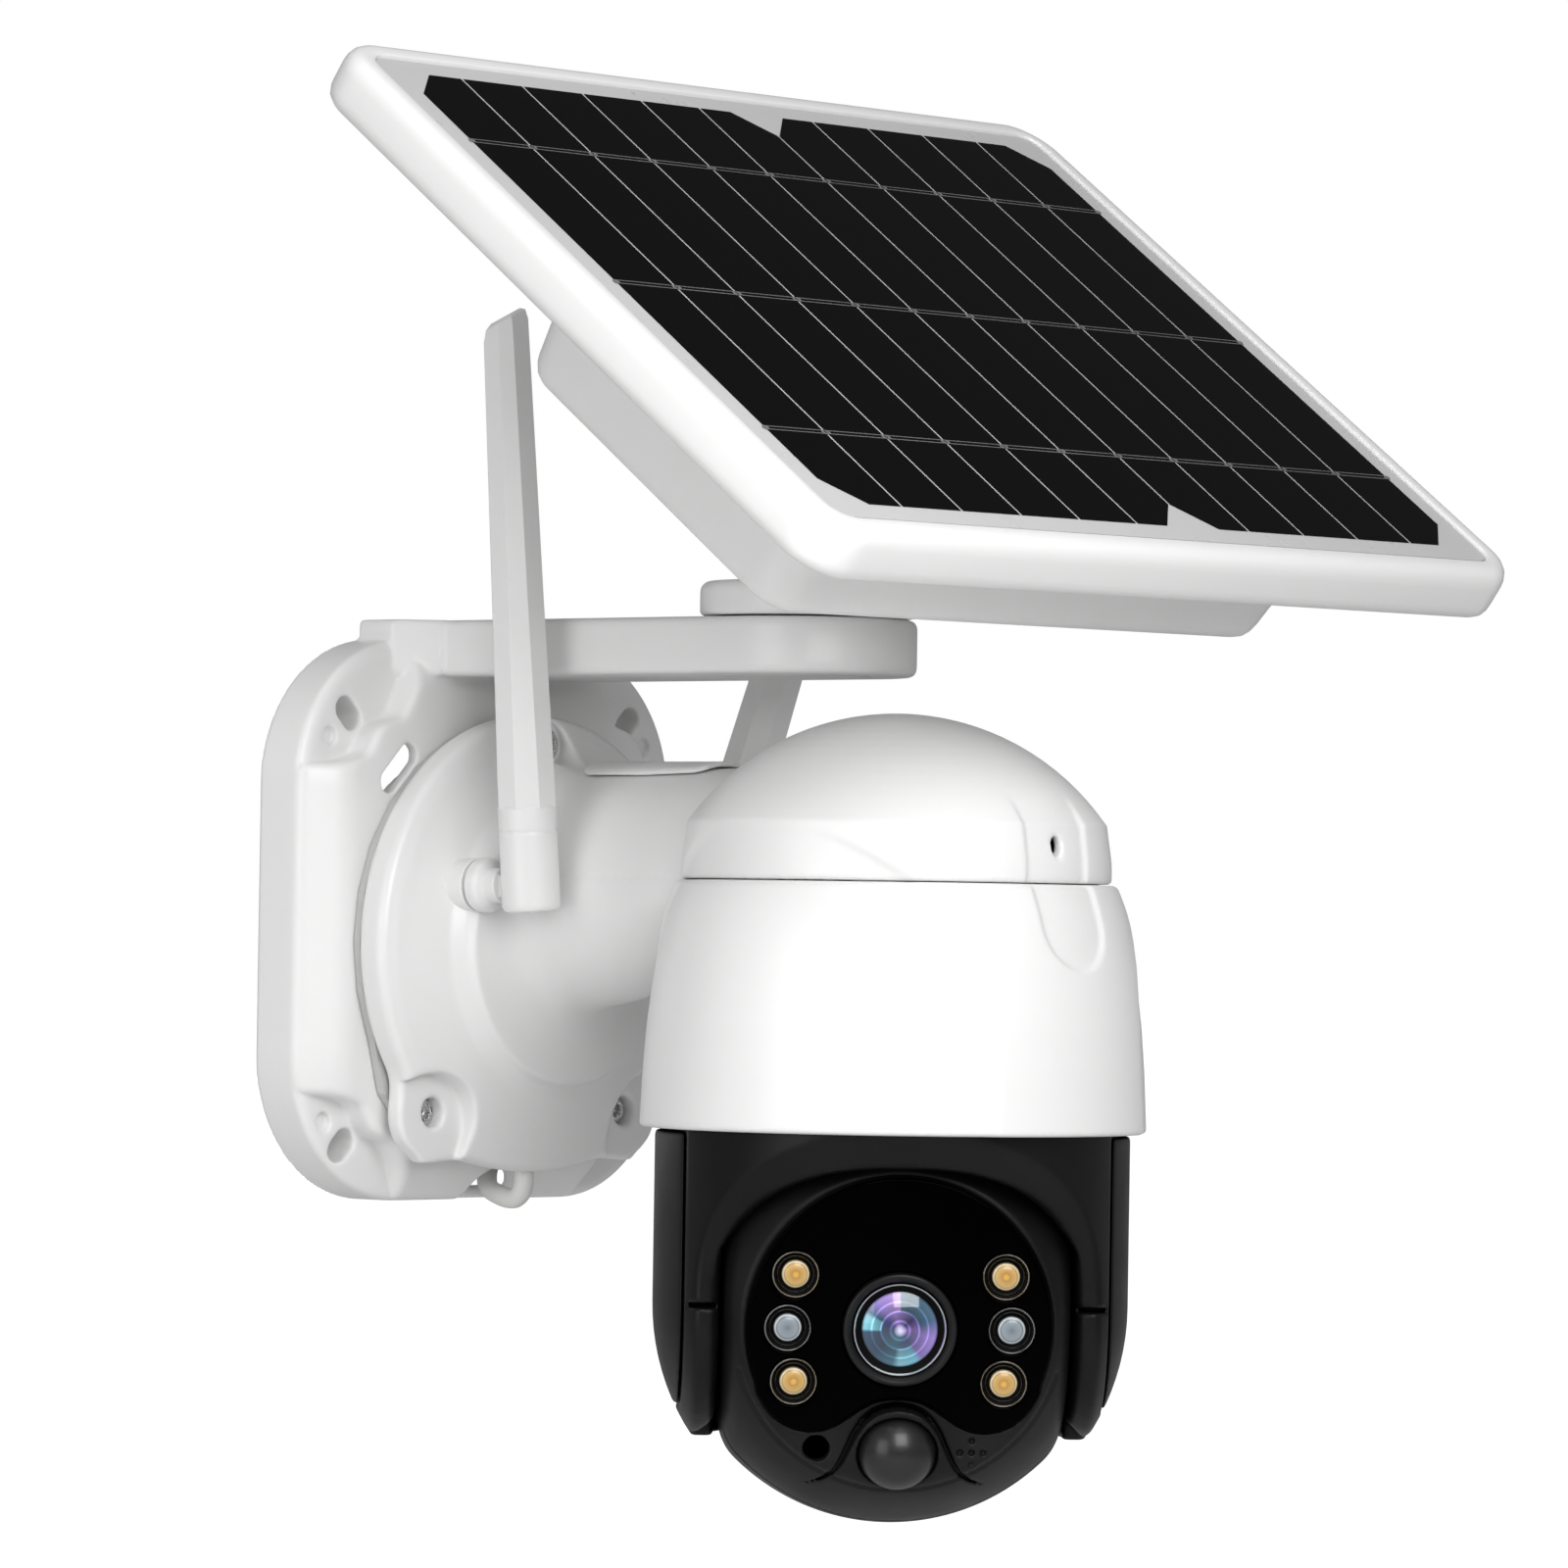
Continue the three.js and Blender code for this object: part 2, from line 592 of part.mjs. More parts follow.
place(camera, 'camera_base', cameraBase(), white);
place(camera, 'base_gasket', baseGasket(), rubber);
place(camera, 'card_cover', cardCover(), white);
place(camera, 'flange_screw_left', flangeScrew(lugSeat, 2.8).translate([-LUG_SCREW.x, 0, LUG_SCREW.z]), steel);
place(camera, 'flange_screw_right', flangeScrew(lugSeat, 2.8).translate([LUG_SCREW.x, 0, LUG_SCREW.z]), steel);
place(camera, 'flange_screw_top', flangeScrew(topSeat, 3.7).translate([0, 0, TOP_SCREW_Z]), steel);

// ---------- antennas ----------
const COLLAR_START = 31;

function connector(side) {
  const washer = turned([[0, 22], [2.1, 22], [2.1, CONNECTOR_SEAT + GAP], [4.6, CONNECTOR_SEAT + GAP],
    [4.6, CONNECTOR_SEAT + 1.6], [3.1, CONNECTOR_SEAT + 1.6], [3.1, 40], [0, 40]], SMALL_ROUND);
  const tab = box([-1.3, -5, CONNECTOR_SEAT + 0.5], [1.3, -3, CONNECTOR_SEAT + 1.4]);
  return atConnector(side, join(washer, tab));
}

function antennaCollar(side, lean) {
  const end = -ANTENNA_Y - ANTENNA_RADIUS - 0.9;
  const sleeve = turned([[3.5, COLLAR_START], [4.4, COLLAR_START], [4.4, 37.5], [5.8, 38], [5.8, 40.4],
    [3.7, 41.2], [3.7, end], [0, end], [0, 41], [3.5, 41]], SMALL_ROUND);
  const tongue = box([-2, -2.2, end - 1], [2, 2.2, -ANTENNA_Y]);
  const pivot = sideways(rod(4.2, -2, 2, 12)).translate([0, 0, -ANTENNA_Y]);
  const leaning = join(tongue, pivot).rotate([0, 0, -side * lean]);
  return atConnector(side, join(sleeve, leaning));
}

// The paddle stands on its pivot, in a frame turned by its lean.
function antennaPaddle() {
  const section = (z, width, depth, corner) => inPlaneZ(roundedRect(width, depth, corner, 3), z);
  const wide = 2 * ANTENNA_RADIUS;
  const top = ANTENNA_LENGTH - ANTENNA_BELOW;
  const paddle = loft([
    section(-ANTENNA_BELOW, wide - 2.4, wide - 2.4, 4.6),
    section(-ANTENNA_BELOW + 1.2, wide, wide, 5.8),
    section(12, wide, wide, 5.8),
    section(40, 11.4, 11.4, 3.6),
    section(top - 3, 9, 8.4, 2.2),
    section(top, 6, 5.4, 1.6),
  ]);
  const slot = box([-2.4, -4.8, -ANTENNA_BELOW - 1], [2.4, 10, 5]);
  return cut(paddle, slot);
}

for (const [name, side, lean] of [['left', -1, LEFT_LEAN], ['right', 1, RIGHT_LEAN]]) {
  place(camera, `antenna_connector_${name}`, connector(side), nylon);
  place(camera, `antenna_collar_${name}`, antennaCollar(side, lean), white);
  const paddle = place(camera, `antenna_paddle_${name}`, antennaPaddle(), white);
  paddle.position.set(side * CONNECTOR.x, ANTENNA_Y, CONNECTOR.z);
  paddle.rotation.y = radians(side * lean);
}

// ---------- fixed parts of the head ----------
function headSkirt() {
  const outer = [[44.8, 6], [46.9, 1], [48.4, -4.3], [49.5, -9.6], [50.4, -15.2], [52.5, SKIRT_BOTTOM]];
  const inner = outer.map(([radius, z]) => [radius - 2.4, z]).reverse();
  const ring = turned([[43.5, SEAM_Z - GAP], ...outer, ...inner, [41.4, SEAM_Z - GAP]]);
  return cut(ring, elbow(2 * GAP, -60, HEAD_Y + 39).translate([0, -HEAD_Y, 0]));
}

function headChassis() {
  const plate = rod(CHASSIS.radius, CHASSIS.bottom, CHASSIS.top, ROUND);
  const motorHole = rod(2.8, -30, 0, 16).translate([PAN_MOTOR_X, 0, 0]);
  return cut(plate, rod(10.6, -30, 0, 24), motorHole);
}

place(head, 'head_skirt', headSkirt(), white);
place(head, 'head_chassis', headChassis(), black);
place(head, 'pan_motor', rod(11.5, CHASSIS.top + GAP, 2.5, 24).translate([PAN_MOTOR_X, 0, 0]), copper);
place(head, 'speaker', rod(10, CHASSIS.top + GAP, -6).translate([-PAN_MOTOR_X, 0, 0]), black);
place(head, 'main_board', cut(rod(34, 9, 10.6, ROUND), rod(6, 5, 15)), board);

function panPinion() {
  const teeth = spurGear(PAN_PINION_TEETH, YOKE_TOP + 0.6, YOKE_TOP + 5.2, Math.PI / PAN_PINION_TEETH);
  return join(teeth, rod(2, YOKE_TOP + 5, CHASSIS.top - 0.2, 12));
}
place(head, 'pan_pinion', panPinion(), nylon).position.set(PAN_MOTOR_X, 0, 0);

// ---------- pan yoke ----------
function yokeOutline() {
  const below = sphereArc(YOKE_RADIUS, YOKE_CURVE_Z, 0, -34.26, 4);
  return [[0, YOKE_TOP], [44.2, YOKE_TOP], [46.2, YOKE_TOP - 2], [46.2, -39], [YOKE_RADIUS, -41],
    ...below, [0, YOKE_BOTTOM]].reverse();
}

// The yoke's front opening, from the tilt axis: straight legs under a squared-off round top.
function archOutline() {
  const points = [new THREE.Vector2(-ARM_INNER, -60), new THREE.Vector2(ARM_INNER, -60)];
  for (let i = 0; i <= ROUND; i += 1) {
    const angle = Math.PI * i / ROUND;
    const across = Math.sign(Math.cos(angle)) * Math.abs(Math.cos(angle)) ** (2 / YOKE_ARCH.power);
    const up = Math.sin(angle) ** (2 / YOKE_ARCH.power);
    points.push(new THREE.Vector2(ARM_INNER * across, YOKE_ARCH.height * up));
  }
  return points;
}

function panYoke() {
  const body = turned(yokeOutline());
  const slice = box([-ARM_INNER, -60, -140], [ARM_INNER, 60, 0]);
  const socket = ball(BALL_RADIUS + 1, 24).translate([0, 0, BALL_Z]).intersect(slice);
  const arch = outward(slab(archOutline(), 0, 60)).translate([0, 0, BALL_Z]);
  const coverSpace = [-1, 1].map((side) => (
    box([COVER_X, -40, COVER_BOTTOM - GAP], [60, 40, -44.2]).rotate([0, 0, side > 0 ? 0 : 180])));
  const hub = rod(10, YOKE_TOP - 1, -11.5, 24);
  const wireway = rod(7, -60, 0, 16);
  const trunnionHole = sideways(rod(TRUNNION_RADIUS + GAP, -60, 60, 24)).translate([0, 0, BALL_Z]);
  const gearPocket = sideways(rod(12, -COVER_X - 1, -38, 24)).translate([0, 0, BALL_Z]);
  const sweep = new THREE.Shape();
  sweep.absarc(0, 0, TILT_MOTOR_Z + 6, radians(-33), radians(111), false);
  sweep.absarc(0, 0, TILT_MOTOR_Z - 6, radians(111), radians(-33), true);
  const pinionPocket = slab(sweep.extractPoints(8).shape, -COVER_X - 1, -ARM_INNER + 1);
  const track = sideways(pinionPocket.rotate([0, 0, 180])).translate([0, 0, BALL_Z]);
  return cut(join(cut(body, socket, arch, ...coverSpace), hub), wireway, trunnionHole, gearPocket, track);
}

function yokeCover(side) {
  const space = box([COVER_X + GAP, -40, COVER_BOTTOM], [60, 40, -44.5]).rotate([0, 0, side > 0 ? 0 : 180]);
  return turned(yokeOutline()).intersect(space);
}

place(pan, 'yoke_shell', panYoke(), black);
place(pan, 'yoke_cover_left', yokeCover(-1), black);
place(pan, 'yoke_cover_right', yokeCover(1), black);
const panGear = cut(spurGear(PAN_TEETH, YOKE_TOP + GAP, YOKE_TOP + 5), rod(10.3, -60, 0, 24));
place(pan, 'pan_gear', panGear, nylon).rotation.z = radians(-HEAD_TURN);

function tiltGear() {
  const blank = cut(spurGear(TILT_TEETH, -41.4, -38.3), rod(TRUNNION_RADIUS + GAP, -60, 0, 24));
  return sideways(blank).rotate([BALL_REST_TILT, 0, 0]).translate([0, 0, BALL_Z]);
}
place(pan, 'tilt_gear', tiltGear(), nylon);

// ---------- tilt ball, in its own frame: the lens looks along -Y ----------
function ballShell() {
  const sides = box([-BALL_SIDE, -60, -60], [BALL_SIDE, 60, 60]);
  const core = box([-BALL_SIDE + 2.2, FACE_Y + 4.6, -60], [BALL_SIDE - 2.2, 60, 60]);
  return cut(ball(BALL_RADIUS).intersect(sides), ball(BALL_RADIUS - 2.4, 20).intersect(core));
}

// The window's outline: the face circle, cut below by a waist round the motion sensor.
function windowOutline(inset) {
  const shape = new THREE.Shape();
  const radius = 30.6 - inset;
  shape.absarc(0, 0, radius, radians(-40), radians(220), false);
  shape.quadraticCurveTo(-22, -21.5 + inset, -17, -21 + inset);
  shape.quadraticCurveTo(-12, -21 + inset, -8, -17 + inset);
  shape.quadraticCurveTo(-4, -14.2 + inset, 0, -14.2 + inset);
  shape.quadraticCurveTo(4, -14.2 + inset, 8, -17 + inset);
  shape.quadraticCurveTo(12, -21 + inset, 17, -21 + inset);
  shape.quadraticCurveTo(22, -21.5 + inset, radius * Math.cos(radians(-40)), radius * Math.sin(radians(-40)));
  return shape.extractPoints(5).shape;
}

const LAMPS = [[-21.4, 11], [-22.8, 0], [-21.4, -11], [21.4, 11], [22.8, 0], [21.4, -11]];
const LAMP_RADIUS = 4.75;
const LENS_BEZEL = 11.6;
const PIR = { y: -32.5, z: -25.0, lean: 16, radius: 7.2 };

function frontShell() {
  const front = box([-60, FACE_Y, -60], [60, BALL_PARTING_Y, 60]);
  const recess = outward(slab(windowOutline(0), -FACE_Y - 1.4, -FACE_Y + 5));
  const lensHole = outward(rod(LENS_BEZEL - 1.6, 20, 40, 24));
  const lampHoles = LAMPS.map(([x, z]) => outward(rod(LAMP_RADIUS - 0.8, 20, 40, 12)).translate([x, 0, z]));
  const pirHole = pirPlace(rod(PIR.radius - 1.5, -12, 12));
  const lightHole = outward(rod(2.7, 33, 40, 16)).translate([-16.4, 0, -25]);
  const pirSeat = pirPlace(rod(10.9, 0.1, 12, 20));
  return cut(ballShell().intersect(front), pirSeat, recess, lensHole, ...lampHoles, pirHole, lightHole);
}

function rearShell() {
  const rear = box([-60, BALL_PARTING_Y + GAP, -60], [60, 60, 60]);
  const trunnions = [-1, 1].map((side) => (
    sideways(rod(TRUNNION_RADIUS, 34.5, 43, 24)).rotate([0, 0, side > 0 ? 0 : 180])));
  const wireBore = sideways(rod(3.5, -60, 60, 16));
  const shaftHole = sideways(rod(2.2, -60, -30, 12)).translate([0, 0, TILT_MOTOR_Z]);
  return cut(join(ballShell().intersect(rear), ...trunnions), wireBore, shaftHole);
}

function faceWindow() {
  const plate = outward(slab(windowOutline(GAP), -FACE_Y - 1.1, -FACE_Y + 0.4));
  const lensHole = outward(rod(LENS_BEZEL + GAP, 20, 40, 28));
  const lampHoles = LAMPS.map(([x, z]) => outward(rod(LAMP_RADIUS + GAP, 20, 40, 14)).translate([x, 0, z]));
  return cut(plate, lensHole, ...lampHoles);
}

// The motion sensor looks lower than the lens does.
function pirPlace(body) {
  return outward(body).rotate([PIR.lean, 0, 0]).translate([0, PIR.y, PIR.z]);
}

function pirDome() {
  const dome = turned([[0, -3], [PIR.radius - 1.8, -3], [PIR.radius - 1.8, 1], [PIR.radius, 1],
    ...sphereArc(PIR.radius, 1, 20, 75, 3), [0, PIR.radius + 1]], 16);
  return pirPlace(dome);
}

function pirTrim() {
  const collar = turned([[PIR.radius + GAP, 0.4], [10.4, 0.4], [9.6, 2], [8.4, 3], [PIR.radius + GAP, 3]], 24);
  return pirPlace(collar);
}

function lensBezel() {
  const start = -FACE_Y - 1.1;
  return outward(turned([[9.5, start], [LENS_BEZEL, start], [LENS_BEZEL, start + 2.6], [LENS_BEZEL - 0.8, start + 3.4],
    [9.5, start + 1]], 28));
}

function lensBarrel() {
  return outward(turned([[0, 14], [8.2, 14], [8.2, 30], [9.2, 30], [9.2, -FACE_Y - 0.4], [0, -FACE_Y - 0.4]], 24));
}

function lensRing() {
  const start = -FACE_Y - 0.1;
  return outward(turned([[8.1, start], [9.2, start], [9.2, start + 1.4], [8.1, start + 0.8]], 28));
}

function lensGlass() {
  const start = -FACE_Y - 0.1;
  const curve = sphereArc(16, start - 13.9, 62, 84, 2);
  return outward(turned([[0, start], [7.8, start], ...curve, [0, start + 2.1]], 20));
}

function lampUnit(x, z) {
  const start = -FACE_Y - 1.1;
  const unit = turned([[0, start - 6], [3.6, start - 6], [3.6, start], [LAMP_RADIUS, start],
    [LAMP_RADIUS, start + 1.8], [0, start + 3]], 14);
  return outward(unit).translate([x, 0, z]);
}

function tiltPinion() {
  const teeth = spurGear(TILT_PINION_TEETH, -41.6, -38.4, Math.PI);
  return sideways(join(teeth, rod(1.6, -39, -33, 12)));
}

place(tilt, 'ball_front_shell', frontShell(), black);
place(tilt, 'ball_rear_shell', rearShell(), black);
place(tilt, 'face_window', faceWindow(), gloss);
place(tilt, 'lens_bezel', lensBezel(), black);
place(tilt, 'lens_barrel', lensBarrel(), black);
place(tilt, 'lens_ring', lensRing(), steel);
place(tilt, 'lens_glass', lensGlass(), glass);
place(tilt, 'sensor_board', outward(rod(24, 12, 13.6, 32)), board);
place(tilt, 'pir_dome', pirDome(), nylon);
place(tilt, 'pir_trim', pirTrim(), black);
LAMPS.forEach(([x, z], i) => place(tilt, `lamp_${i + 1}`, lampUnit(x, z), lamp));
const tiltMotor = sideways(rod(10, -BALL_SIDE + 2.8, -20, 24)).translate([0, 0, TILT_MOTOR_Z]);
place(tilt, 'tilt_motor', tiltMotor.translate([0, 2, 0]), copper);
place(tilt, 'tilt_pinion', tiltPinion(), nylon).position.set(0, 0, TILT_MOTOR_Z);

// ---------- solar lead: panel, arm, plate, notch, base and main board ----------
// Its route, as places along its middle.
const LEAD_ROUTE = [
  [0, -104, 72], [0, -104, 66], [0, -103.7, 60.5], [0, -101, 56.8], [0, -94.5, 55.7], [0, -74.5, 55.7],
  [0, -50, 55.7], [0, -24, 55.7], [0.5, -14, 55.6], [3, -9.5, 52], [9, -8.5, 45], [16.5, -9, 32], [20, -10, 16],
  [20.5, -10.5, 0], [20.5, -10, -14], [18, -9, -30], [13, -8, -45], [6, -8.5, -55.5], [1.5, -12, -60.7],
  [0, -17, -63], [0, -21.5, -63.6], [0, -23.9, -60.5], [0, -24.1, -54], [0, -24, -42], [0, -24, -26],
  [0, -24.2, -15], [0, -27.5, -9], [0, -38, -4], [0, -54.5, 3], [0, -79.5, 9.5], [0, -92.5, 13],
];

function powerLead() {
  const curve = new THREE.CatmullRomCurve3(LEAD_ROUTE.map((point) => new THREE.Vector3(...point)));
  const section = new THREE.Shape(circle(LEAD_RADIUS, 8));
  return solid(new THREE.ExtrudeGeometry(section, { steps: 76, extrudePath: curve, bevelEnabled: false }));
}
place(camera, 'power_lead', powerLead(), white);

export default camera;
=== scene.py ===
import json
import math

import bpy
import numpy as np
import openvdb
from mathutils import Matrix, Vector


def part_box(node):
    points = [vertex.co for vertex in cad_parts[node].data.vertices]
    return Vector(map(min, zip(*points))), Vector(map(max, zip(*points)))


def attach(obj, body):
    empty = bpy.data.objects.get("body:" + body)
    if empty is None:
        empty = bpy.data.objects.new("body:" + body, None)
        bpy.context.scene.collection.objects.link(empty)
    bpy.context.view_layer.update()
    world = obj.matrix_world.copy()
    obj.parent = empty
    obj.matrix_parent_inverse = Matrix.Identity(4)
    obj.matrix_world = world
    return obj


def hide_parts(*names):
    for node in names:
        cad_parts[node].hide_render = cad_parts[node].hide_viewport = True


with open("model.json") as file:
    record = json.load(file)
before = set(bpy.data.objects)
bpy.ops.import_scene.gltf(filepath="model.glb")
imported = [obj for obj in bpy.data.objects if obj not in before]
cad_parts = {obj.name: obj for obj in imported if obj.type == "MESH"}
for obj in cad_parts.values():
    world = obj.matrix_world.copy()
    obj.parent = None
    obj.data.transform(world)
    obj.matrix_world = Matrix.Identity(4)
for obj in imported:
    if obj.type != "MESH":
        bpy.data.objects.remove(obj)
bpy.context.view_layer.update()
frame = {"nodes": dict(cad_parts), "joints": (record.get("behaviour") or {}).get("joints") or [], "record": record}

# Lengths in this script are millimetres in the row frame, turned into metres when a mesh is made.
MM = 0.001
JOINTS = {joint["name"]: joint for joint in frame["joints"]}


def joint_place(name):
    return Vector(JOINTS[name]["pos_m"]) / MM


def node_box(name):
    low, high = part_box(name)
    return low / MM, high / MM


# ---------- driving dimensions, read from the frame ----------
SKIRT_LOW, SKIRT_HIGH = node_box("head_skirt")
DOME_TOP = node_box("camera_base")[1].z
HEAD = joint_place("camera_pan")
TILT = joint_place("camera_tilt")
HINGE = joint_place("panel_tilt")
HEAD_Y = HEAD.y
TILT_AXIS = Vector(JOINTS["camera_tilt"]["axis"])
HEAD_TURN = math.atan2(TILT_AXIS.y, TILT_AXIS.x)
SEAM_Z = SKIRT_HIGH.z + 0.3
SKIRT_BOTTOM = SKIRT_LOW.z

# ---------- camera, floor and light ----------
FOCAL_LENGTH = 190.7
SENSOR = 36.0
CAMERA_AZIMUTH = math.radians(-48.1)
CAMERA_ELEVATION = math.radians(-0.91)
CAMERA_ROLL = math.radians(0.9)
CAMERA_DISTANCE = 1721.0
AIM_LEFT = 23.3
AIM_UP = 20.2
FLOOR_Z = -240.0
STUDIO_LIGHT = 0.44
STUDIO_DARK = 0.22
FLOOR_GLOW = 0.82


def make_camera():
    a, e, r = CAMERA_AZIMUTH, CAMERA_ELEVATION, CAMERA_ROLL
    right = Vector((math.cos(a), math.sin(a), 0))
    up = Vector((-math.sin(a) * math.sin(e), math.cos(a) * math.sin(e), math.cos(e)))
    back = right.cross(up)
    rolled_right = right * math.cos(r) + up * math.sin(r)
    rolled_up = up * math.cos(r) - right * math.sin(r)
    aim = Vector((0, HEAD_Y, SEAM_Z)) - rolled_right * AIM_LEFT + rolled_up * AIM_UP
    data = bpy.data.cameras.new("camera")
    data.lens = FOCAL_LENGTH
    data.sensor_width = SENSOR
    data.clip_start = 0.05
    data.clip_end = 50
    camera = bpy.data.objects.new("camera", data)
    bpy.context.scene.collection.objects.link(camera)
    turn = Matrix((rolled_right, rolled_up, back)).transposed().to_4x4()
    camera.matrix_world = Matrix.Translation((aim + back * CAMERA_DISTANCE) * MM) @ turn
    bpy.context.scene.camera = camera


def area_light(name, azimuth, elevation, distance, size, power, tint=(1, 1, 1)):
    a, e = math.radians(azimuth), math.radians(elevation)
    back = Vector((math.sin(a) * math.cos(e), -math.cos(a) * math.cos(e), math.sin(e)))
    data = bpy.data.lights.new(name, "AREA")
    data.shape = "RECTANGLE"
    data.size, data.size_y = size
    data.energy = power
    data.color = tint
    light = bpy.data.objects.new(name, data)
    bpy.context.scene.collection.objects.link(light)
    light.location = Vector((0, HEAD_Y * MM, 0.02)) + back * distance
    light.rotation_mode = "QUATERNION"
    light.rotation_quaternion = back.to_track_quat("Z", "Y")


def make_world():
    """White behind the object, and a softer studio round it that is darker behind and above."""
    world = bpy.data.worlds.new("studio")
    bpy.context.scene.world = world
    world.use_nodes = True
    tree = world.node_tree
    place = tree.nodes.new("ShaderNodeTexCoord")
    toward = tree.nodes.new("ShaderNodeVectorMath")
    toward.operation = "DOT_PRODUCT"
    toward.inputs[1].default_value = Vector((0.62, 0.50, 0.60)).normalized()
    tree.links.new(place.outputs["Generated"], toward.inputs[0])
    fade = tree.nodes.new("ShaderNodeMapRange")
    fade.inputs["From Min"].default_value = 0.0
    fade.inputs["From Max"].default_value = 0.75
    fade.inputs["To Min"].default_value = STUDIO_LIGHT
    fade.inputs["To Max"].default_value = STUDIO_DARK
    tree.links.new(toward.outputs["Value"], fade.inputs["Value"])
    light_path = tree.nodes.new("ShaderNodeLightPath")
    strength = tree.nodes.new("ShaderNodeMix")
    tree.links.new(light_path.outputs["Is Camera Ray"], strength.inputs["Factor"])
    tree.links.new(fade.outputs["Result"], strength.inputs["A"])
    strength.inputs["B"].default_value = 1.0
    background = tree.nodes["Background"]
    background.inputs["Color"].default_value = (1, 1, 1, 1)
    tree.links.new(strength.outputs["Result"], background.inputs["Strength"])


def make_stage():
    make_world()
    bpy.ops.mesh.primitive_plane_add(size=30, location=(0, 0, FLOOR_Z * MM))
    floor = bpy.context.object
    floor.name = "floor"
    material = bpy.data.materials.new("pale_floor")
    material.use_nodes = True
    shader = material.node_tree.nodes["Principled BSDF"]
    shader.inputs["Base Color"].default_value = (0.85, 0.85, 0.85, 1)
    shader.inputs["Roughness"].default_value = 0.8
    shader.inputs["Emission Color"].default_value = (1, 1, 1, 1)
    light_path = material.node_tree.nodes.new("ShaderNodeLightPath")
    glow = calculate(material.node_tree, "MULTIPLY", light_path.outputs["Is Camera Ray"], FLOOR_GLOW)
    material.node_tree.links.new(glow, shader.inputs["Emission Strength"])
    floor.data.materials.append(material)
    area_light("key_light", -34, 24, 0.56, (0.35, 0.4), 2.6)
    area_light("left_light", -92, 4, 0.9, (0.5, 0.6), 1.9)
    area_light("top_light", -60, 70, 0.9, (0.6, 0.4), 1.2)
    bpy.context.scene.view_settings.view_transform = "Standard"


# ---------- materials ----------
def new_material(name, color, roughness, metallic=0.0, **sockets):
    material = bpy.data.materials.new(name)
    material.use_nodes = True
    shader = material.node_tree.nodes["Principled BSDF"]
    shader.inputs["Base Color"].default_value = (*color, 1)
    shader.inputs["Roughness"].default_value = roughness
    shader.inputs["Metallic"].default_value = metallic
    for socket, value in sockets.items():
        shader.inputs[socket.replace("_", " ")].default_value = value
    return material, material.node_tree, shader


def noise(tree, scale, detail=4.0):
    place = tree.nodes.new("ShaderNodeTexCoord")
    texture = tree.nodes.new("ShaderNodeTexNoise")
    texture.inputs["Scale"].default_value = scale
    texture.inputs["Detail"].default_value = detail
    tree.links.new(place.outputs["Object"], texture.inputs["Vector"])
    return texture.outputs["Fac"]


def spread(tree, value, low, high):
    """Maps a 0 to 1 value onto the span from low to high."""
    node = tree.nodes.new("ShaderNodeMapRange")
    node.inputs["From Min"].default_value = 0.3
    node.inputs["From Max"].default_value = 0.7
    node.inputs["To Min"].default_value = low
    node.inputs["To Max"].default_value = high
    tree.links.new(value, node.inputs["Value"])
    return node.outputs["Result"]


def blend_colors(tree, value, first, second):
    node = tree.nodes.new("ShaderNodeMix")
    node.data_type = "RGBA"
    node.inputs["A"].default_value = (*first, 1)
    node.inputs["B"].default_value = (*second, 1)
    tree.links.new(value, node.inputs["Factor"])
    return node.outputs["Result"]


def bump(tree, shader, height, strength, distance):
    node = tree.nodes.new("ShaderNodeBump")
    node.inputs["Strength"].default_value = strength
    node.inputs["Distance"].default_value = distance
    tree.links.new(height, node.inputs["Height"])
    tree.links.new(node.outputs["Normal"], shader.inputs["Normal"])


def moulded(name, color, roughness, grain=2600, strength=0.12, vary=0.02, **sockets):
    """Moulded plastic: fine tool grain, slight cloudiness, and a roughness that wanders a little."""
    material, tree, shader = new_material(name, color, roughness, **sockets)
    cloud = spread(tree, noise(tree, 22), 0, 1)
    darker = [max(0, value * (1 - vary) - vary * 0.1) for value in color]
    tree.links.new(blend_colors(tree, cloud, color, darker), shader.inputs["Base Color"])
    smudge = noise(tree, 60, 6)
    tree.links.new(spread(tree, smudge, roughness * 0.86, roughness * 1.14), shader.inputs["Roughness"])
    bump(tree, shader, noise(tree, grain, 2), strength, 0.00006)
    return material


def metal(name, color, roughness, grain=500):
    material, tree, shader = new_material(name, color, roughness, 1.0)
    streak = noise(tree, grain, 3)
    tree.links.new(spread(tree, streak, roughness * 0.7, roughness * 1.4), shader.inputs["Roughness"])
    bump(tree, shader, streak, 0.1, 0.00005)
    return material


WHITE = moulded("white_abs", (0.80, 0.80, 0.797), 0.36, strength=0.05, vary=0.012, Coat_Weight=0.12)
WHITE_NYLON = moulded("white_nylon", (0.74, 0.74, 0.72), 0.5, strength=0.08)
BLACK = moulded("black_abs", (0.0045, 0.0045, 0.0049), 0.38, grain=1900, strength=0.12, vary=0.1,
                Specular_IOR_Level=0.22)
# A lighter copy of the black plastic: the satin finish is real, and the lighter base is painted light that makes
# the ball's front look lit grey.
BLACK_SATIN_PAINTED_LIGHTER = moulded("black_satin_painted_lighter", (0.0085, 0.0085, 0.009), 0.42, strength=0.06, vary=0.1,
                      Specular_IOR_Level=0.2)
GLOSS = moulded("window_acrylic", (0.0004, 0.0004, 0.0005), 0.05, grain=300, strength=0.01, vary=0.1,
                Specular_IOR_Level=0.015)
RUBBER = moulded("gasket_rubber", (0.50, 0.50, 0.495), 0.75, grain=1500, strength=0.4)
STEEL = metal("zinc_steel", (0.60, 0.60, 0.60), 0.24)
BRIGHT_RING = metal("lens_ring_metal", (0.55, 0.55, 0.56), 0.16)
MOTOR_CAN = metal("motor_can", (0.5, 0.5, 0.5), 0.35)
BOARD = moulded("solder_mask", (0.02, 0.12, 0.05), 0.35, grain=900, strength=0.2, vary=0.2)
WRAP = moulded("battery_wrap", (0.02, 0.10, 0.35), 0.3, grain=400, strength=0.2, vary=0.1)
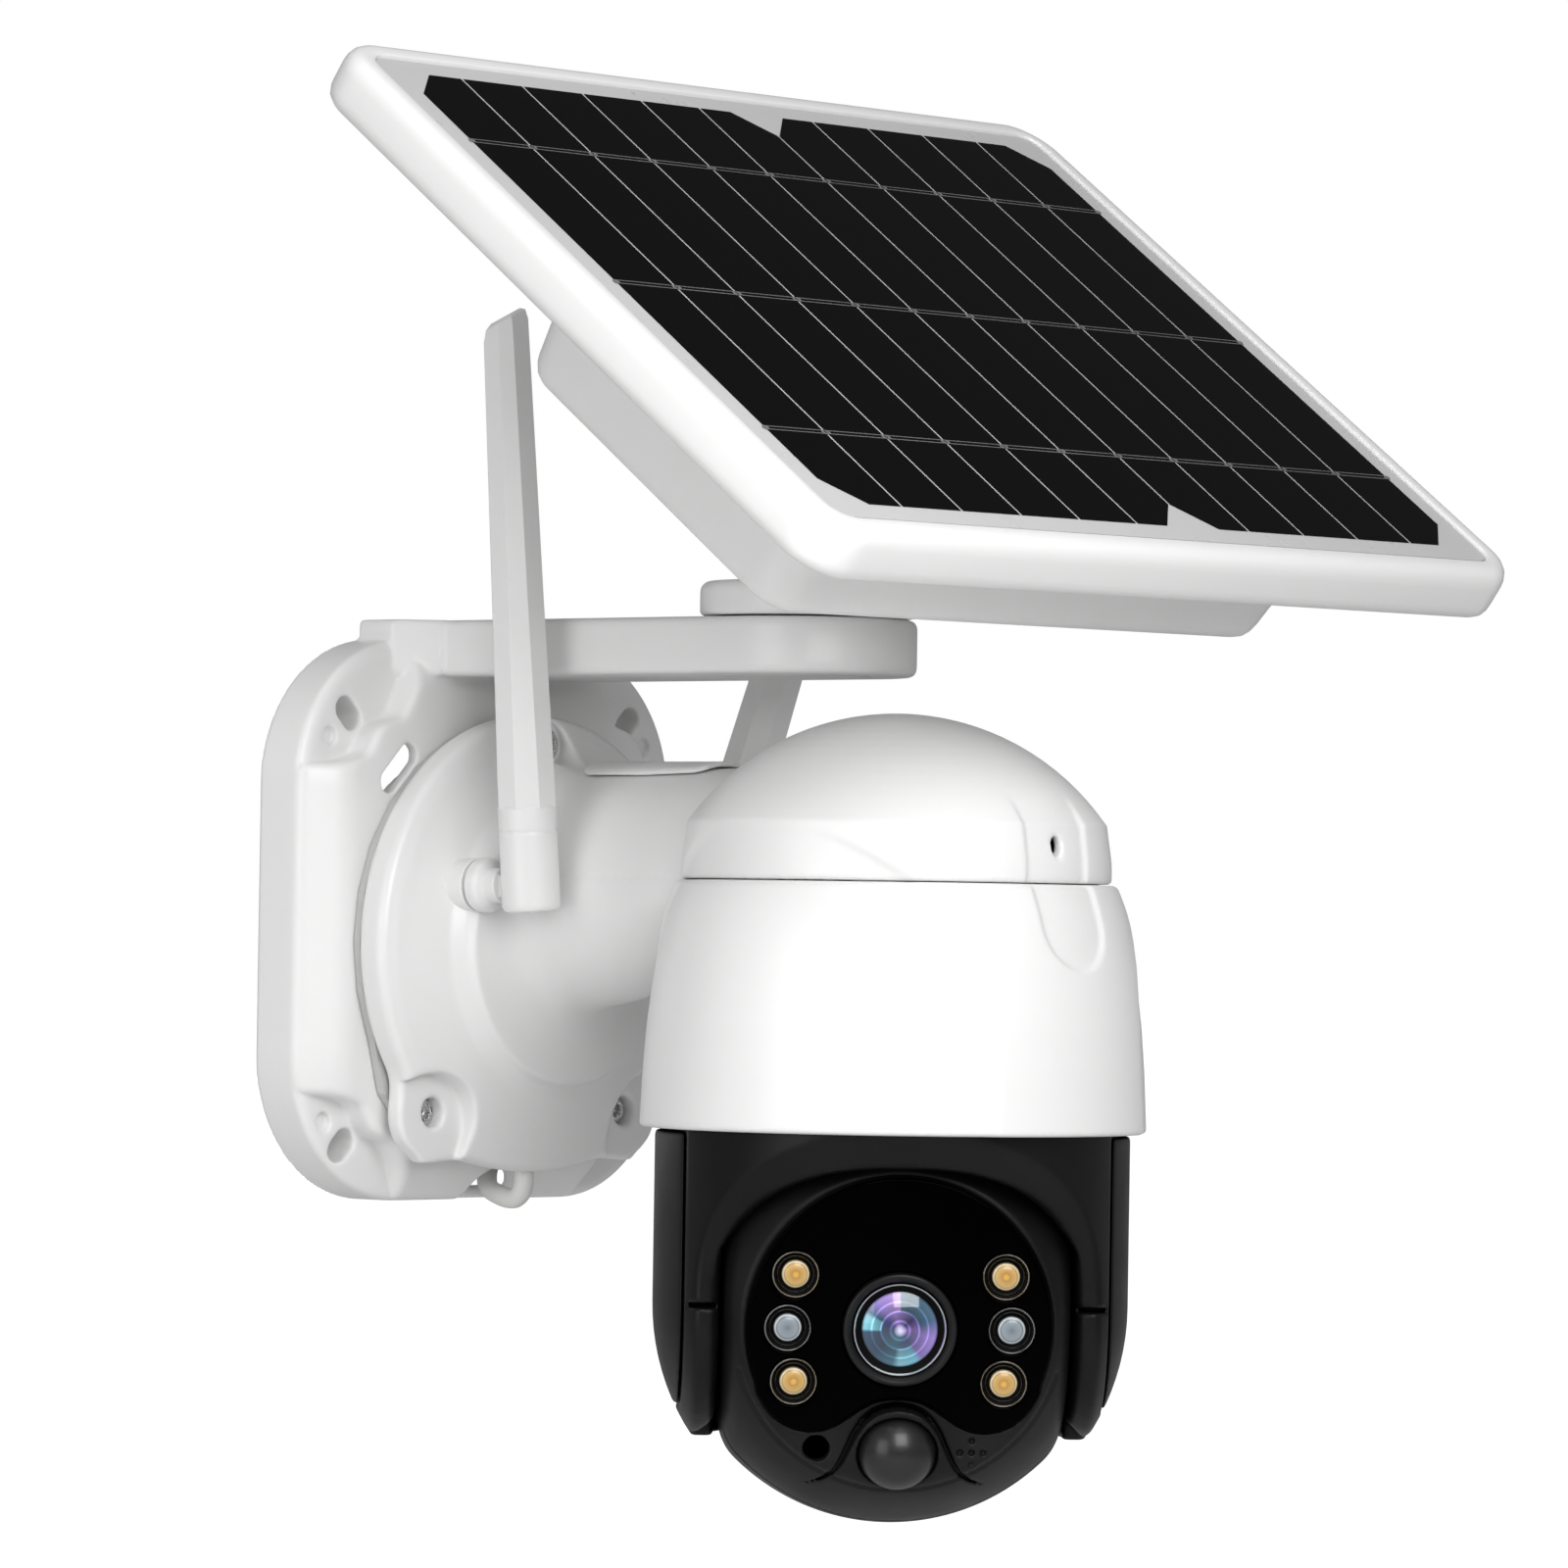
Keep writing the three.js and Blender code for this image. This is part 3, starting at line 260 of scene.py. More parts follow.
SHEATH = moulded("cable_sheath", (0.70, 0.70, 0.69), 0.5, grain=1200, strength=0.2)


def axis_value(tree, axis):
    place = tree.nodes.new("ShaderNodeTexCoord")
    split = tree.nodes.new("ShaderNodeSeparateXYZ")
    tree.links.new(place.outputs["Object"], split.inputs["Vector"])
    return split.outputs[axis]


def calculate(tree, operation, *values):
    node = tree.nodes.new("ShaderNodeMath")
    node.operation = operation
    for socket, value in zip(node.inputs, values):
        if isinstance(value, (int, float)):
            socket.default_value = value
        else:
            tree.links.new(value, socket)
    return node.outputs["Value"]


def radius_value(tree, scale):
    """Distance from the piece's own Z axis, times scale."""
    x, y = axis_value(tree, "X"), axis_value(tree, "Y")
    squares = calculate(tree, "ADD", calculate(tree, "MULTIPLY", x, x), calculate(tree, "MULTIPLY", y, y))
    return calculate(tree, "MULTIPLY", calculate(tree, "SQRT", squares), scale)


def ramp(tree, value, stops):
    node = tree.nodes.new("ShaderNodeValToRGB")
    while len(node.color_ramp.elements) < len(stops):
        node.color_ramp.elements.new(0.5)
    for element, (place, color) in zip(node.color_ramp.elements, stops):
        element.position = place
        element.color = (*color, 1)
    tree.links.new(value, node.inputs["Fac"])
    return node.outputs["Color"]


def cell_material():
    """Blue-black silicon with hair-fine silver fingers across each strip."""
    material, tree, shader = new_material("solar_cells", (0.002, 0.002, 0.003), 0.3, Specular_IOR_Level=0.02)
    finger = calculate(tree, "FRACT", calculate(tree, "MULTIPLY", axis_value(tree, "X"), 1 / 0.0016))
    line = calculate(tree, "LESS_THAN", finger, 0.07)
    crystal = spread(tree, noise(tree, 70), 0, 0.3)
    dark = blend_colors(tree, crystal, (0.0004, 0.0004, 0.0005), (0.0012, 0.0012, 0.002))
    mix = tree.nodes.new("ShaderNodeMix")
    mix.data_type = "RGBA"
    tree.links.new(line, mix.inputs["Factor"])
    tree.links.new(dark, mix.inputs["A"])
    mix.inputs["B"].default_value = (0.005, 0.005, 0.006, 1)
    tree.links.new(mix.outputs["Result"], shader.inputs["Base Color"])
    return material


def multiply_colors(tree, first, second):
    node = tree.nodes.new("ShaderNodeMix")
    node.data_type = "RGBA"
    node.blend_type = "MULTIPLY"
    node.inputs["Factor"].default_value = 1.0
    tree.links.new(first, node.inputs["A"])
    tree.links.new(second, node.inputs["B"])
    return node.outputs["Result"]


def lens_material_painted_reflections():
    """Coated glass: violet and cyan sectors over fine rings, round a small pale centre spot. The sectors are the
    coating's own tint with painted reflections, the light rings are painted reflections and the centre spot is a
    painted highlight.
    """
    material, tree, shader = new_material("coated_lens_painted_reflections", (0.1, 0.1, 0.4), 0.08, 0.0, Coat_Weight=0.6,
                                          Coat_Roughness=0.02)
    angle = calculate(tree, "ARCTAN2", axis_value(tree, "Y"), axis_value(tree, "X"))
    share = calculate(tree, "ADD", calculate(tree, "MULTIPLY", angle, 0.5 / math.pi), 0.5)
    radius = radius_value(tree, 1 / 0.0078)
    # Coating tint by angle with painted reflections: the lighter cyan wedge at the left and the violet patches are
    # painted highlights over the darker blue tint.
    outer = ramp(tree, share, [(0.0, (0.16, 0.48, 0.60)), (0.012, (0.03, 0.07, 0.13)),
                               (0.12, (0.02, 0.05, 0.10)), (0.22, (0.04, 0.13, 0.20)),
                               (0.25, (0.20, 0.46, 0.56)), (0.33, (0.15, 0.42, 0.56)),
                               (0.36, (0.20, 0.14, 0.42)), (0.46, (0.30, 0.20, 0.60)),
                               (0.55, (0.06, 0.13, 0.22)), (0.70, (0.04, 0.10, 0.15)),
                               (0.748, (0.07, 0.15, 0.20)), (0.752, (0.46, 0.30, 0.66)),
                               (0.86, (0.30, 0.22, 0.60)), (0.92, (0.05, 0.12, 0.20)),
                               (0.94, (0.20, 0.52, 0.64)), (1.0, (0.22, 0.58, 0.70))])
    inner = ramp(tree, share, [(0.0, (0.05, 0.08, 0.18)), (0.2, (0.04, 0.16, 0.24)),
                               (0.35, (0.05, 0.08, 0.22)), (0.52, (0.26, 0.16, 0.50)),
                               (0.62, (0.05, 0.05, 0.16)), (0.8, (0.34, 0.24, 0.62)),
                               (0.9, (0.10, 0.10, 0.30)), (1.0, (0.05, 0.08, 0.18))])
    is_outer = ramp(tree, radius, [(0.48, (0, 0, 0)), (0.52, (1, 1, 1))])
    sectors = tree.nodes.new("ShaderNodeMix")
    sectors.data_type = "RGBA"
    tree.links.new(is_outer, sectors.inputs["Factor"])
    tree.links.new(inner, sectors.inputs["A"])
    tree.links.new(outer, sectors.inputs["B"])
    # Painted reflections: light concentric rings multiplied over the sector colours.
    rings = ramp(tree, radius, [(0.0, (1.5, 1.5, 1.5)), (0.20, (0.5, 0.5, 0.5)), (0.25, (1.3, 1.3, 1.3)),
                                (0.30, (0.4, 0.4, 0.4)), (0.46, (0.55, 0.55, 0.55)), (0.50, (1.5, 1.5, 1.5)),
                                (0.54, (0.5, 0.5, 0.5)), (0.70, (0.7, 0.7, 0.7)), (0.745, (1.7, 1.7, 1.7)),
                                (0.78, (0.8, 0.8, 0.8)), (0.93, (1.1, 1.1, 1.1)), (1.0, (0.08, 0.08, 0.10))])
    # Painted highlight: a pale spot at the centre of the lens.
    painted_pupil_highlight = ramp(tree, radius, [
        (0.0, (1, 1, 1)), (0.07, (0.6, 0.6, 0.6)), (0.17, (0.0, 0.0, 0.0))])
    colour = multiply_colors(tree, sectors.outputs["Result"], rings)
    # Blends the painted pale violet-white highlight over the centre.
    painted_highlight_mix = tree.nodes.new("ShaderNodeMix")
    painted_highlight_mix.data_type = "RGBA"
    tree.links.new(painted_pupil_highlight, painted_highlight_mix.inputs["Factor"])
    tree.links.new(colour, painted_highlight_mix.inputs["A"])
    painted_highlight_mix.inputs["B"].default_value = (0.75, 0.72, 0.98, 1)
    tree.links.new(painted_highlight_mix.outputs["Result"], shader.inputs["Base Color"])
    return material


# Lamp chip colours by radius: the amber or grey tone is the chip's own, and the lighter bands in the ramp are
# painted highlights.
def chip_material_painted_highlights(name, stops):
    material, tree, shader = new_material(name, (1, 1, 1), 0.3, Coat_Weight=0.3, Coat_Roughness=0.08)
    tree.links.new(ramp(tree, radius_value(tree, 1 / 0.00285), stops), shader.inputs["Base Color"])
    bump(tree, shader, noise(tree, 2500), 0.05, 0.00005)
    return material


CELLS = cell_material()
LENS_PAINTED_REFLECTIONS = lens_material_painted_reflections()
# Warm chip: its amber tone is real; the brighter centre and the pale ring near the rim are painted highlights.
WARM_CHIP_PAINTED_HIGHLIGHTS = chip_material_painted_highlights("warm_lamp_chip_painted_highlights", [(0.0, (0.72, 0.38, 0.05)), (0.16, (0.66, 0.36, 0.06)),
                                             (0.26, (0.40, 0.23, 0.06)), (0.5, (0.52, 0.31, 0.09)),
                                             (0.74, (0.58, 0.37, 0.12)), (0.80, (0.30, 0.19, 0.07)),
                                             (0.9, (0.78, 0.66, 0.42)), (1.0, (0.20, 0.15, 0.08))])
# Infrared chip: its grey tone is real; the pale ring near the rim is a painted highlight.
COLD_CHIP_PAINTED_HIGHLIGHTS = chip_material_painted_highlights("infrared_lamp_chip_painted_highlights", [(0.0, (0.13, 0.16, 0.18)), (0.3, (0.20, 0.24, 0.27)),
                                                 (0.70, (0.26, 0.30, 0.33)), (0.80, (0.12, 0.14, 0.16)),
                                                 (0.9, (0.60, 0.66, 0.70)), (1.0, (0.10, 0.12, 0.13))])
LAMP_CUP = metal("lamp_rim_chrome", (0.55, 0.54, 0.52), 0.24, 300)
LAMP_STEP = metal("lamp_step_chrome", (0.22, 0.20, 0.17), 0.3, 300)
MATT = moulded("baffle_black", (0.0015, 0.0015, 0.0015), 0.6, strength=0.05, vary=0.1,
               Specular_IOR_Level=0.08)
BEZEL = moulded("bezel_satin", (0.008, 0.008, 0.0085), 0.42, strength=0.05, vary=0.1, Specular_IOR_Level=0.3)
BACKSHEET = moulded("backsheet", (0.56, 0.56, 0.56), 0.3, grain=800, strength=0.03)
TABBING = moulded("tabbing_ribbon", (0.20, 0.20, 0.20), 0.4, strength=0.1, vary=0.3)
PIR_DOME = moulded("frosted_dome", (0.006, 0.006, 0.0065), 0.34, grain=2400, strength=0.1, Coat_Weight=0.12)


# ---------- places: the frames that pieces are drawn in ----------
REST_TILT = 7.2
PANEL_SLOPE = 36.6
GLASS = {"width": 208.0, "height": 161.3}


def shift(x, y, z):
    return Matrix.Translation((x, y, z))


def turn(degrees, axis):
    return Matrix.Rotation(math.radians(degrees), 4, axis)


ROW = Matrix.Identity(4)
HEAD_PLACE = shift(0, HEAD_Y, 0)
PAN_PLACE = HEAD_PLACE @ Matrix.Rotation(HEAD_TURN, 4, "Z")
TILT_PLACE = shift(*TILT) @ Matrix.Rotation(HEAD_TURN, 4, "Z") @ turn(REST_TILT, "X")
FORWARD = turn(90, "X")          # takes +Z to -Y, the way that the faces of the camera look
FACE_PLACE = TILT_PLACE @ FORWARD
PANEL_PLACE = shift(0, -139.7, 125.3) @ turn(PANEL_SLOPE, "X")


# ---------- meshes ----------
def mesh_object(name, points, faces, place=ROW, sharp=None):
    """A smooth-shaded object of millimetre points; edges steeper than sharp degrees stay crisp."""
    data = bpy.data.meshes.new(name)
    data.from_pydata((np.asarray(points, float) * MM).tolist(), [], faces)
    data.validate()
    data.shade_smooth()
    if sharp:
        data.set_sharp_from_angle(angle=math.radians(sharp))
    piece = bpy.data.objects.new(name, data)
    bpy.context.scene.collection.objects.link(piece)
    matrix = place.copy()
    matrix.translation = matrix.translation * MM
    piece.matrix_world = matrix
    return piece


def volume_of(points, faces):
    total = 0.0
    for face in faces:
        a = points[face[0]]
        for i in range(1, len(face) - 1):
            total += float(np.dot(a, np.cross(points[face[i]], points[face[i + 1]])))
    return total


def solid(name, points, faces, place=ROW, sharp=35):
    """A closed mesh of given points, wound to face outwards."""
    points = np.asarray(points, float)
    if volume_of(points, faces) < 0:
        faces = [list(face)[::-1] for face in faces]
    return mesh_object(name, points, [list(face) for face in faces], place, sharp)


def loft(rings):
    """Points and faces of a closed skin through rings of equal length, with flat ends."""
    count = len(rings[0])
    points = [point for ring in rings for point in ring]
    faces = []
    for i in range(len(rings) - 1):
        for j in range(count):
            k = (j + 1) % count
            faces.append([i * count + j, i * count + k, (i + 1) * count + k, (i + 1) * count + j])
    faces.append(list(range(count))[::-1])
    faces.append([(len(rings) - 1) * count + j for j in range(count)])
    return points, faces


def lathe(profile, segments=96):
    """A closed turned piece about Z, from (radius, height) corners that start and end at radius 0."""
    rings, points, faces = [], [], []
    for radius, height in profile:
        start = len(points)
        if radius < 1e-6:
            points.append((0, 0, height))
            rings.append([start] * segments)
        else:
            for j in range(segments):
                angle = 2 * math.pi * j / segments
                points.append((radius * math.cos(angle), radius * math.sin(angle), height))
            rings.append(list(range(start, start + segments)))
    for lower, upper in zip(rings, rings[1:]):
        for j in range(segments):
            k = (j + 1) % segments
            face = [lower[j], lower[k], upper[k], upper[j]]
            face = [v for i, v in enumerate(face) if v != face[i - 1]]
            if len(face) > 2:
                faces.append(face)
    return points, faces


def ring_lathe(profile, segments=96):
    """As lathe, for a ring: the profile is a closed loop that stays off the axis."""
    points, faces = [], []
    for radius, height in profile:
        for j in range(segments):
            angle = 2 * math.pi * j / segments
            points.append((radius * math.cos(angle), radius * math.sin(angle), height))
    for i in range(len(profile)):
        nxt = (i + 1) % len(profile)
        for j in range(segments):
            k = (j + 1) % segments
            faces.append([i * segments + j, i * segments + k, nxt * segments + k, nxt * segments + j])
    return points, faces


def arc(cx, cy, radius, start, end, steps):
    """Points on an arc, by degrees."""
    angles = [math.radians(start + (end - start) * i / steps) for i in range(steps + 1)]
    return [(cx + radius * math.cos(a), cy + radius * math.sin(a)) for a in angles]


def rounded_outline(half_u, half_v, radius, steps=8):
    points = []
    for su, sv, start in ((1, 1, 0), (-1, 1, 90), (-1, -1, 180), (1, -1, 270)):
        points += arc(su * (half_u - radius), sv * (half_v - radius), radius, start, start + 90, steps)
    return points


# ---------- signed distance fields ----------
class Field:
    """A grid of signed distances, negative inside, that becomes a mesh where it crosses zero."""

    def __init__(self, low, high, voxel):
        self.low, self.voxel = np.array(low, float), voxel
        counts = [int(math.ceil((b - a) / voxel)) + 1 for a, b in zip(low, high)]
        self.axes = [(low[i] + voxel * np.arange(counts[i])).astype(np.float32) for i in range(3)]
        self.x = self.axes[0][:, None, None]
        self.y = self.axes[1][None, :, None]
        self.z = self.axes[2][None, None, :]

    def surface(self, distance, relax=2):
        band = 3 * self.voxel
        shape = [len(axis) for axis in self.axes]
        values = np.clip(np.broadcast_to(distance, shape), -band, band).astype(np.float32)
        grid = openvdb.FloatGrid(band)
        grid.copyFromArray(np.ascontiguousarray(values))
        points, quads = grid.convertToQuads(0.0)
        points, quads = points.astype(float), quads.astype(np.int64)
        for _ in range(relax):
            points = relaxed(points, quads)
        points = points * self.voxel + self.low
        a, b, c, d = (points[quads[:, i]] for i in range(4))
        volume = np.einsum("ij,ij->", a, np.cross(b, c)) + np.einsum("ij,ij->", a, np.cross(c, d))
        return points, (quads if volume > 0 else quads[:, ::-1])

    def mesh(self, name, distance, place=ROW, relax=2):
        points, quads = self.surface(distance, relax)
        return mesh_object(name, points, quads.tolist(), place)


def relaxed(points, quads):
    """Moves each point half way to the middle of its neighbours, which takes out the grid's ripple."""
    total = np.zeros_like(points)
    count = np.zeros(len(points))
    for i in range(4):
        here, there = quads[:, i], quads[:, (i + 1) % 4]
        for axis in range(3):
            total[:, axis] += np.bincount(here, points[there, axis], len(points))
            total[:, axis] += np.bincount(there, points[here, axis], len(points))
        count += np.bincount(here, minlength=len(points)) + np.bincount(there, minlength=len(points))
    return 0.5 * points + 0.5 * total / np.maximum(count, 1)[:, None]


def join(fields, radius=0.0):
    """The union of fields, with a fillet of about half that radius where they meet."""
    result = fields[0]
    for field in fields[1:]:
        if radius:
            near = np.maximum(radius - np.abs(result - field), 0)
            result = np.minimum(result, field) - near * near / (4 * radius)
        else:
            result = np.minimum(result, field)
    return result


def common(*fields, radius=0.0):
    return -join([-field for field in fields], radius)


def cut(body, *tools, radius=0.0):
    return -join([-body, *tools], radius)


def ease(value):
    value = np.clip(value, 0, 1)
    return value * value * (3 - 2 * value)


def polygon(u, v, corners):
    """Signed distance to a closed polygon, negative inside, over arrays u and v."""
    best = np.full(np.broadcast(u, v).shape, 1e12, np.float32)
    inside = np.zeros(best.shape, bool)
    for i, (bx, by) in enumerate(corners):
        ax, ay = corners[i - 1]
        ex, ey = bx - ax, by - ay
        share = np.clip(((u - ax) * ex + (v - ay) * ey) / max(ex * ex + ey * ey, 1e-9), 0, 1)
        best = np.minimum(best, (u - ax - ex * share) ** 2 + (v - ay - ey * share) ** 2)
        if by != ay:
            inside ^= ((ay > v) != (by > v)) & (u < ex * (v - ay) / (by - ay) + ax)
    return np.where(inside, -np.sqrt(best), np.sqrt(best))


RADIUS_STEP = 0.25


def revolved(across, along, section):
    """Distance to a solid of revolution, over radius and one axis; section holds (radius, along) corners."""
    radii = np.arange(0, float(across.max()) + 1, RADIUS_STEP, dtype=np.float32)
    table = polygon(radii[:, None], along[None, :], section)
    index = across / RADIUS_STEP
    lower = np.minimum(index.astype(int), len(radii) - 2)
    share = (index - lower)[..., None]
    return table[lower] * (1 - share) + table[lower + 1] * share


def turned_z(f, section, cx=0.0, cy=0.0):
    return revolved(np.sqrt((f.x - cx) ** 2 + (f.y - cy) ** 2)[:, :, 0], f.axes[2], section)


def turned_y(f, section, cx=0.0, cz=0.0):
    """About a line along Y; the section's second number runs along -Y."""
    body = revolved(np.sqrt((f.x - cx) ** 2 + (f.z - cz) ** 2)[:, 0, :], -f.axes[1], section)
    return np.swapaxes(body, 1, 2)


def prism(flat, along, low, high, rounding=0.0):
    """A flat field given thickness from low to high, with rounded edges."""
    return common(flat, np.abs(along - (low + high) / 2) - (high - low) / 2, radius=2 * rounding)


def block(f, low, high, rounding=0.0):
    spans = zip((f.x, f.y, f.z), low, high)
    q = [np.abs(axis - (a + b) / 2) - (b - a) / 2 + rounding for axis, a, b in spans]
    beyond = np.sqrt(sum(np.maximum(side, 0) ** 2 for side in q))
    return beyond + np.minimum(np.maximum(np.maximum(q[0], q[1]), q[2]), 0) - rounding


def rod(u, v, radius):
    return np.sqrt(u ** 2 + v ** 2) - radius


def rounded_rect(u, v, half_u, half_v, radius):
    qu = np.abs(u) - half_u + radius
    qv = np.abs(v) - half_v + radius
    beyond = np.sqrt(np.maximum(qu, 0) ** 2 + np.maximum(qv, 0) ** 2)
    return beyond + np.minimum(np.maximum(qu, qv), 0) - radius


def oblong(u, v, half_length, radius, degrees):
    """A slot shape whose length runs at an angle to u."""
    a = math.radians(degrees)
    along, across = u * math.cos(a) + v * math.sin(a), v * math.cos(a) - u * math.sin(a)
    return np.sqrt(np.maximum(np.abs(along) - half_length + radius, 0) ** 2 + across ** 2) - radius


# ---------- finishing a piece ----------
def fit(piece, body, material, slot, *nodes):
    piece.data.materials.append(material)
    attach(piece, body)
    if nodes:
        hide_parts(*nodes)
    return piece


def paint(node, material):
    piece = frame["nodes"][node]
    piece.data.materials.clear()
    piece.data.materials.append(material)


# ---------- the wall bracket ----------
PLATE_HALF = 58.0
PLATE_BOTTOM = -62.3
PATTERN_Z = -4.3
PLATE_CORNER = 32.0
PLATE_SIDE = 12.2
PLATE_DEPTH = 18.7
ARM_TOP = 62.2
ARM_BOTTOM = 50.2
ARM_HALF = 22.8
ARM_END_Y = -104.0
WALL = 2.6


def corners(x, z):
    return [(sx * x, sz * z + PATTERN_Z, sx * sz) for sx in (-1, 1) for sz in (-1, 1)]


def arm_flat(f, inset=0.0):
    """The arm seen from above: flared at the plate, round at its far end."""
    flare = 8.2 * np.clip((f.y + 20.5) / 8.3, 0, 1)
    straight = np.maximum(np.abs(f.x) - ARM_HALF - flare + inset, ARM_END_Y - f.y)
    return np.minimum(straight, rod(f.x, f.y - ARM_END_Y, ARM_HALF - inset))


def make_wall_bracket():
    f = Field((-60, -21.5, -64), (60, 1.5, 64), 0.5)
    middle = (PLATE_HALF + PLATE_BOTTOM) / 2
    flat = rounded_rect(f.x, f.z - middle, PLATE_HALF, PLATE_HALF - middle, PLATE_CORNER)
    slope = (PLATE_DEPTH - PLATE_SIDE) / 8
    chamfer = (-f.y - PLATE_SIDE + slope * flat) / math.hypot(1, slope)
    skin = common(common(flat, chamfer, radius=1.6), -f.y - PLATE_DEPTH, radius=2.4)
    pockets = []
    for x, z, _ in corners(54, 61.3):
        scallop = rod(f.x - x, f.z - z, 26.0)
        inner = rod(f.x - x * 0.66, f.z - PATTERN_Z - (z - PATTERN_Z) * 0.62, 6.5)
        pockets.append(np.maximum(cut(scallop, inner, radius=3), f.y + PLATE_SIDE))
    skin = cut(skin, *pockets, radius=2.2)
    body = np.maximum(skin, f.y)
    hollow = np.maximum(skin + WALL, -f.y - 15.7)
    posts = [rod(f.x - x, f.z - z, 7.0) for x, z, _ in corners(43.5, 46)]
    lead_gap = block(f, (14, -17, -3), (27, 2, 3))
    ribs = [cut(np.abs(f.z) - 1.1, lead_gap), np.abs(f.x) - 1.1, np.abs(rod(f.x, f.z, 33)) - 1.0,
            rod(f.x, f.z, 13)]
    hollow = cut(hollow, *[np.maximum(rib, f.y + 1.2) for rib in ribs], *posts, radius=0.8)
    tools = [hollow]
    for x, z, side in corners(43.5, 46):
        tools.append(oblong(f.x - x, f.z - z, 4.0, 2.75, 45 * side))
    for x, z, _ in corners(49, 41):
        tools.append(np.maximum(rod(f.x - x, f.z - z, 2.0), f.y + PLATE_SIDE - 1.5))
    for x, z, side in corners(34.5, 34.5):
        tools.append(oblong(f.x - x, f.z - z, 6.5, 2.5, -45 * side))
    tools.append(np.maximum(rod(f.x, f.z - PLATE_BOTTOM, 7.0), f.y + 6))
    plate = cut(body, *tools, radius=0.7)
    root = prism(arm_flat(f), f.z, ARM_BOTTOM, ARM_TOP, 0.8)
    root = np.maximum(root, np.abs(f.y + 11) - 9)
    plate_points, plate_faces = f.surface(join([plate, root], 0.8), 1)

    g = Field((-33, ARM_END_Y - 24.5, ARM_BOTTOM - 1.5), (33, -8, ARM_TOP + 1.5), 0.5)
    arm = prism(arm_flat(g), g.z, ARM_BOTTOM, ARM_TOP, 1.1)
    rebate = np.maximum(rounded_rect(g.x, g.y + 63.25, 13, 54.25, 12), g.z - ARM_BOTTOM - 2.3)
    channel = np.maximum(rounded_rect(g.x, g.y + 63.25, 10, 50.25, 9), g.z - ARM_TOP + WALL)
    arm = cut(np.maximum(arm, g.y + 19), rebate, channel, rod(g.x, g.y - ARM_END_Y, 9.4), radius=0.5)
    arm_points, arm_faces = g.surface(arm, 1)
    points = np.vstack([plate_points, arm_points])
    faces = np.vstack([plate_faces, arm_faces + len(plate_points)])
    piece = mesh_object("bracket_plate_and_arm", points, faces.tolist())
    fit(piece, "bracket", WHITE, "white_shell", "wall_bracket")


# ---------- the solar swivel and its hinge ----------
DISC_TOP = 69.8
LUG_IN, LUG_OUT, LUG_RADIUS = 7.0, 12.0, 7.5


def make_swivel():
    f = Field((-24, -24, 58), (24, 24, 97.5), 0.4)
    disc = turned_z(f, [(-5, ARM_TOP + 0.3), (22.2, ARM_TOP + 0.3), (22.8, 63.2), (22.8, DISC_TOP - 2.2),
                        *arc(20.6, DISC_TOP - 2.2, 2.2, 10, 80, 4), (20.6, DISC_TOP), (-5, DISC_TOP)])
    spigot = np.maximum(rod(f.x, f.y, 9.0), np.abs(f.z - 61.5) - 2)
    hinge = HINGE.z
    eye = rod(f.y, f.z - hinge, LUG_RADIUS)
    upright = np.maximum(np.abs(f.y) - LUG_RADIUS, np.maximum(f.z - hinge, DISC_TOP - 1 - f.z))
    lug = common(np.minimum(eye, upright), np.abs(np.abs(f.x) - (LUG_IN + LUG_OUT) / 2) - 2.5, radius=1.2)
    body = join([disc, lug], 3.0)
    body = cut(np.minimum(body, spigot), np.maximum(rod(f.x, f.y, 4), f.z - 76), rod(f.y, f.z - hinge, 2.7),
               radius=0.4)
    piece = f.mesh("swivel_disc", body, shift(0, ARM_END_Y, 0))
    fit(piece, "solar_swivel", WHITE, "white_shell", "swivel_bracket")


def phillips_head(radius, height, base, bottom, shank):
    """A pan-head screw about Z with a cross recess, as a field piece's points and faces."""
    f = Field((-radius - 1, -radius - 1, bottom - 1), (radius + 1, radius + 1, base + height + 1), 0.16)
    crown = base + height
    head = turned_z(f, [(-5, base), (radius, base), (radius, base + height * 0.45),
                        (radius * 0.93, base + height * 0.72), (radius * 0.72, crown - 0.12), (-5, crown)])
    stem = np.maximum(rod(f.x, f.y, shank), np.abs(f.z - (bottom + base) / 2) - (base - bottom) / 2 - 0.3)
    taper = 0.62 + 0.12 * (f.z - crown)
    reach = radius * 0.56 + 0.5 * (f.z - crown)
    cross = np.minimum(np.maximum(np.abs(f.x) - taper, np.abs(f.y) - reach),
                       np.maximum(np.abs(f.y) - taper, np.abs(f.x) - reach))
    cross = np.maximum(cross, crown - 1.7 - f.z)
    return f.surface(cut(np.minimum(head, stem), cross, radius=0.25), 1)


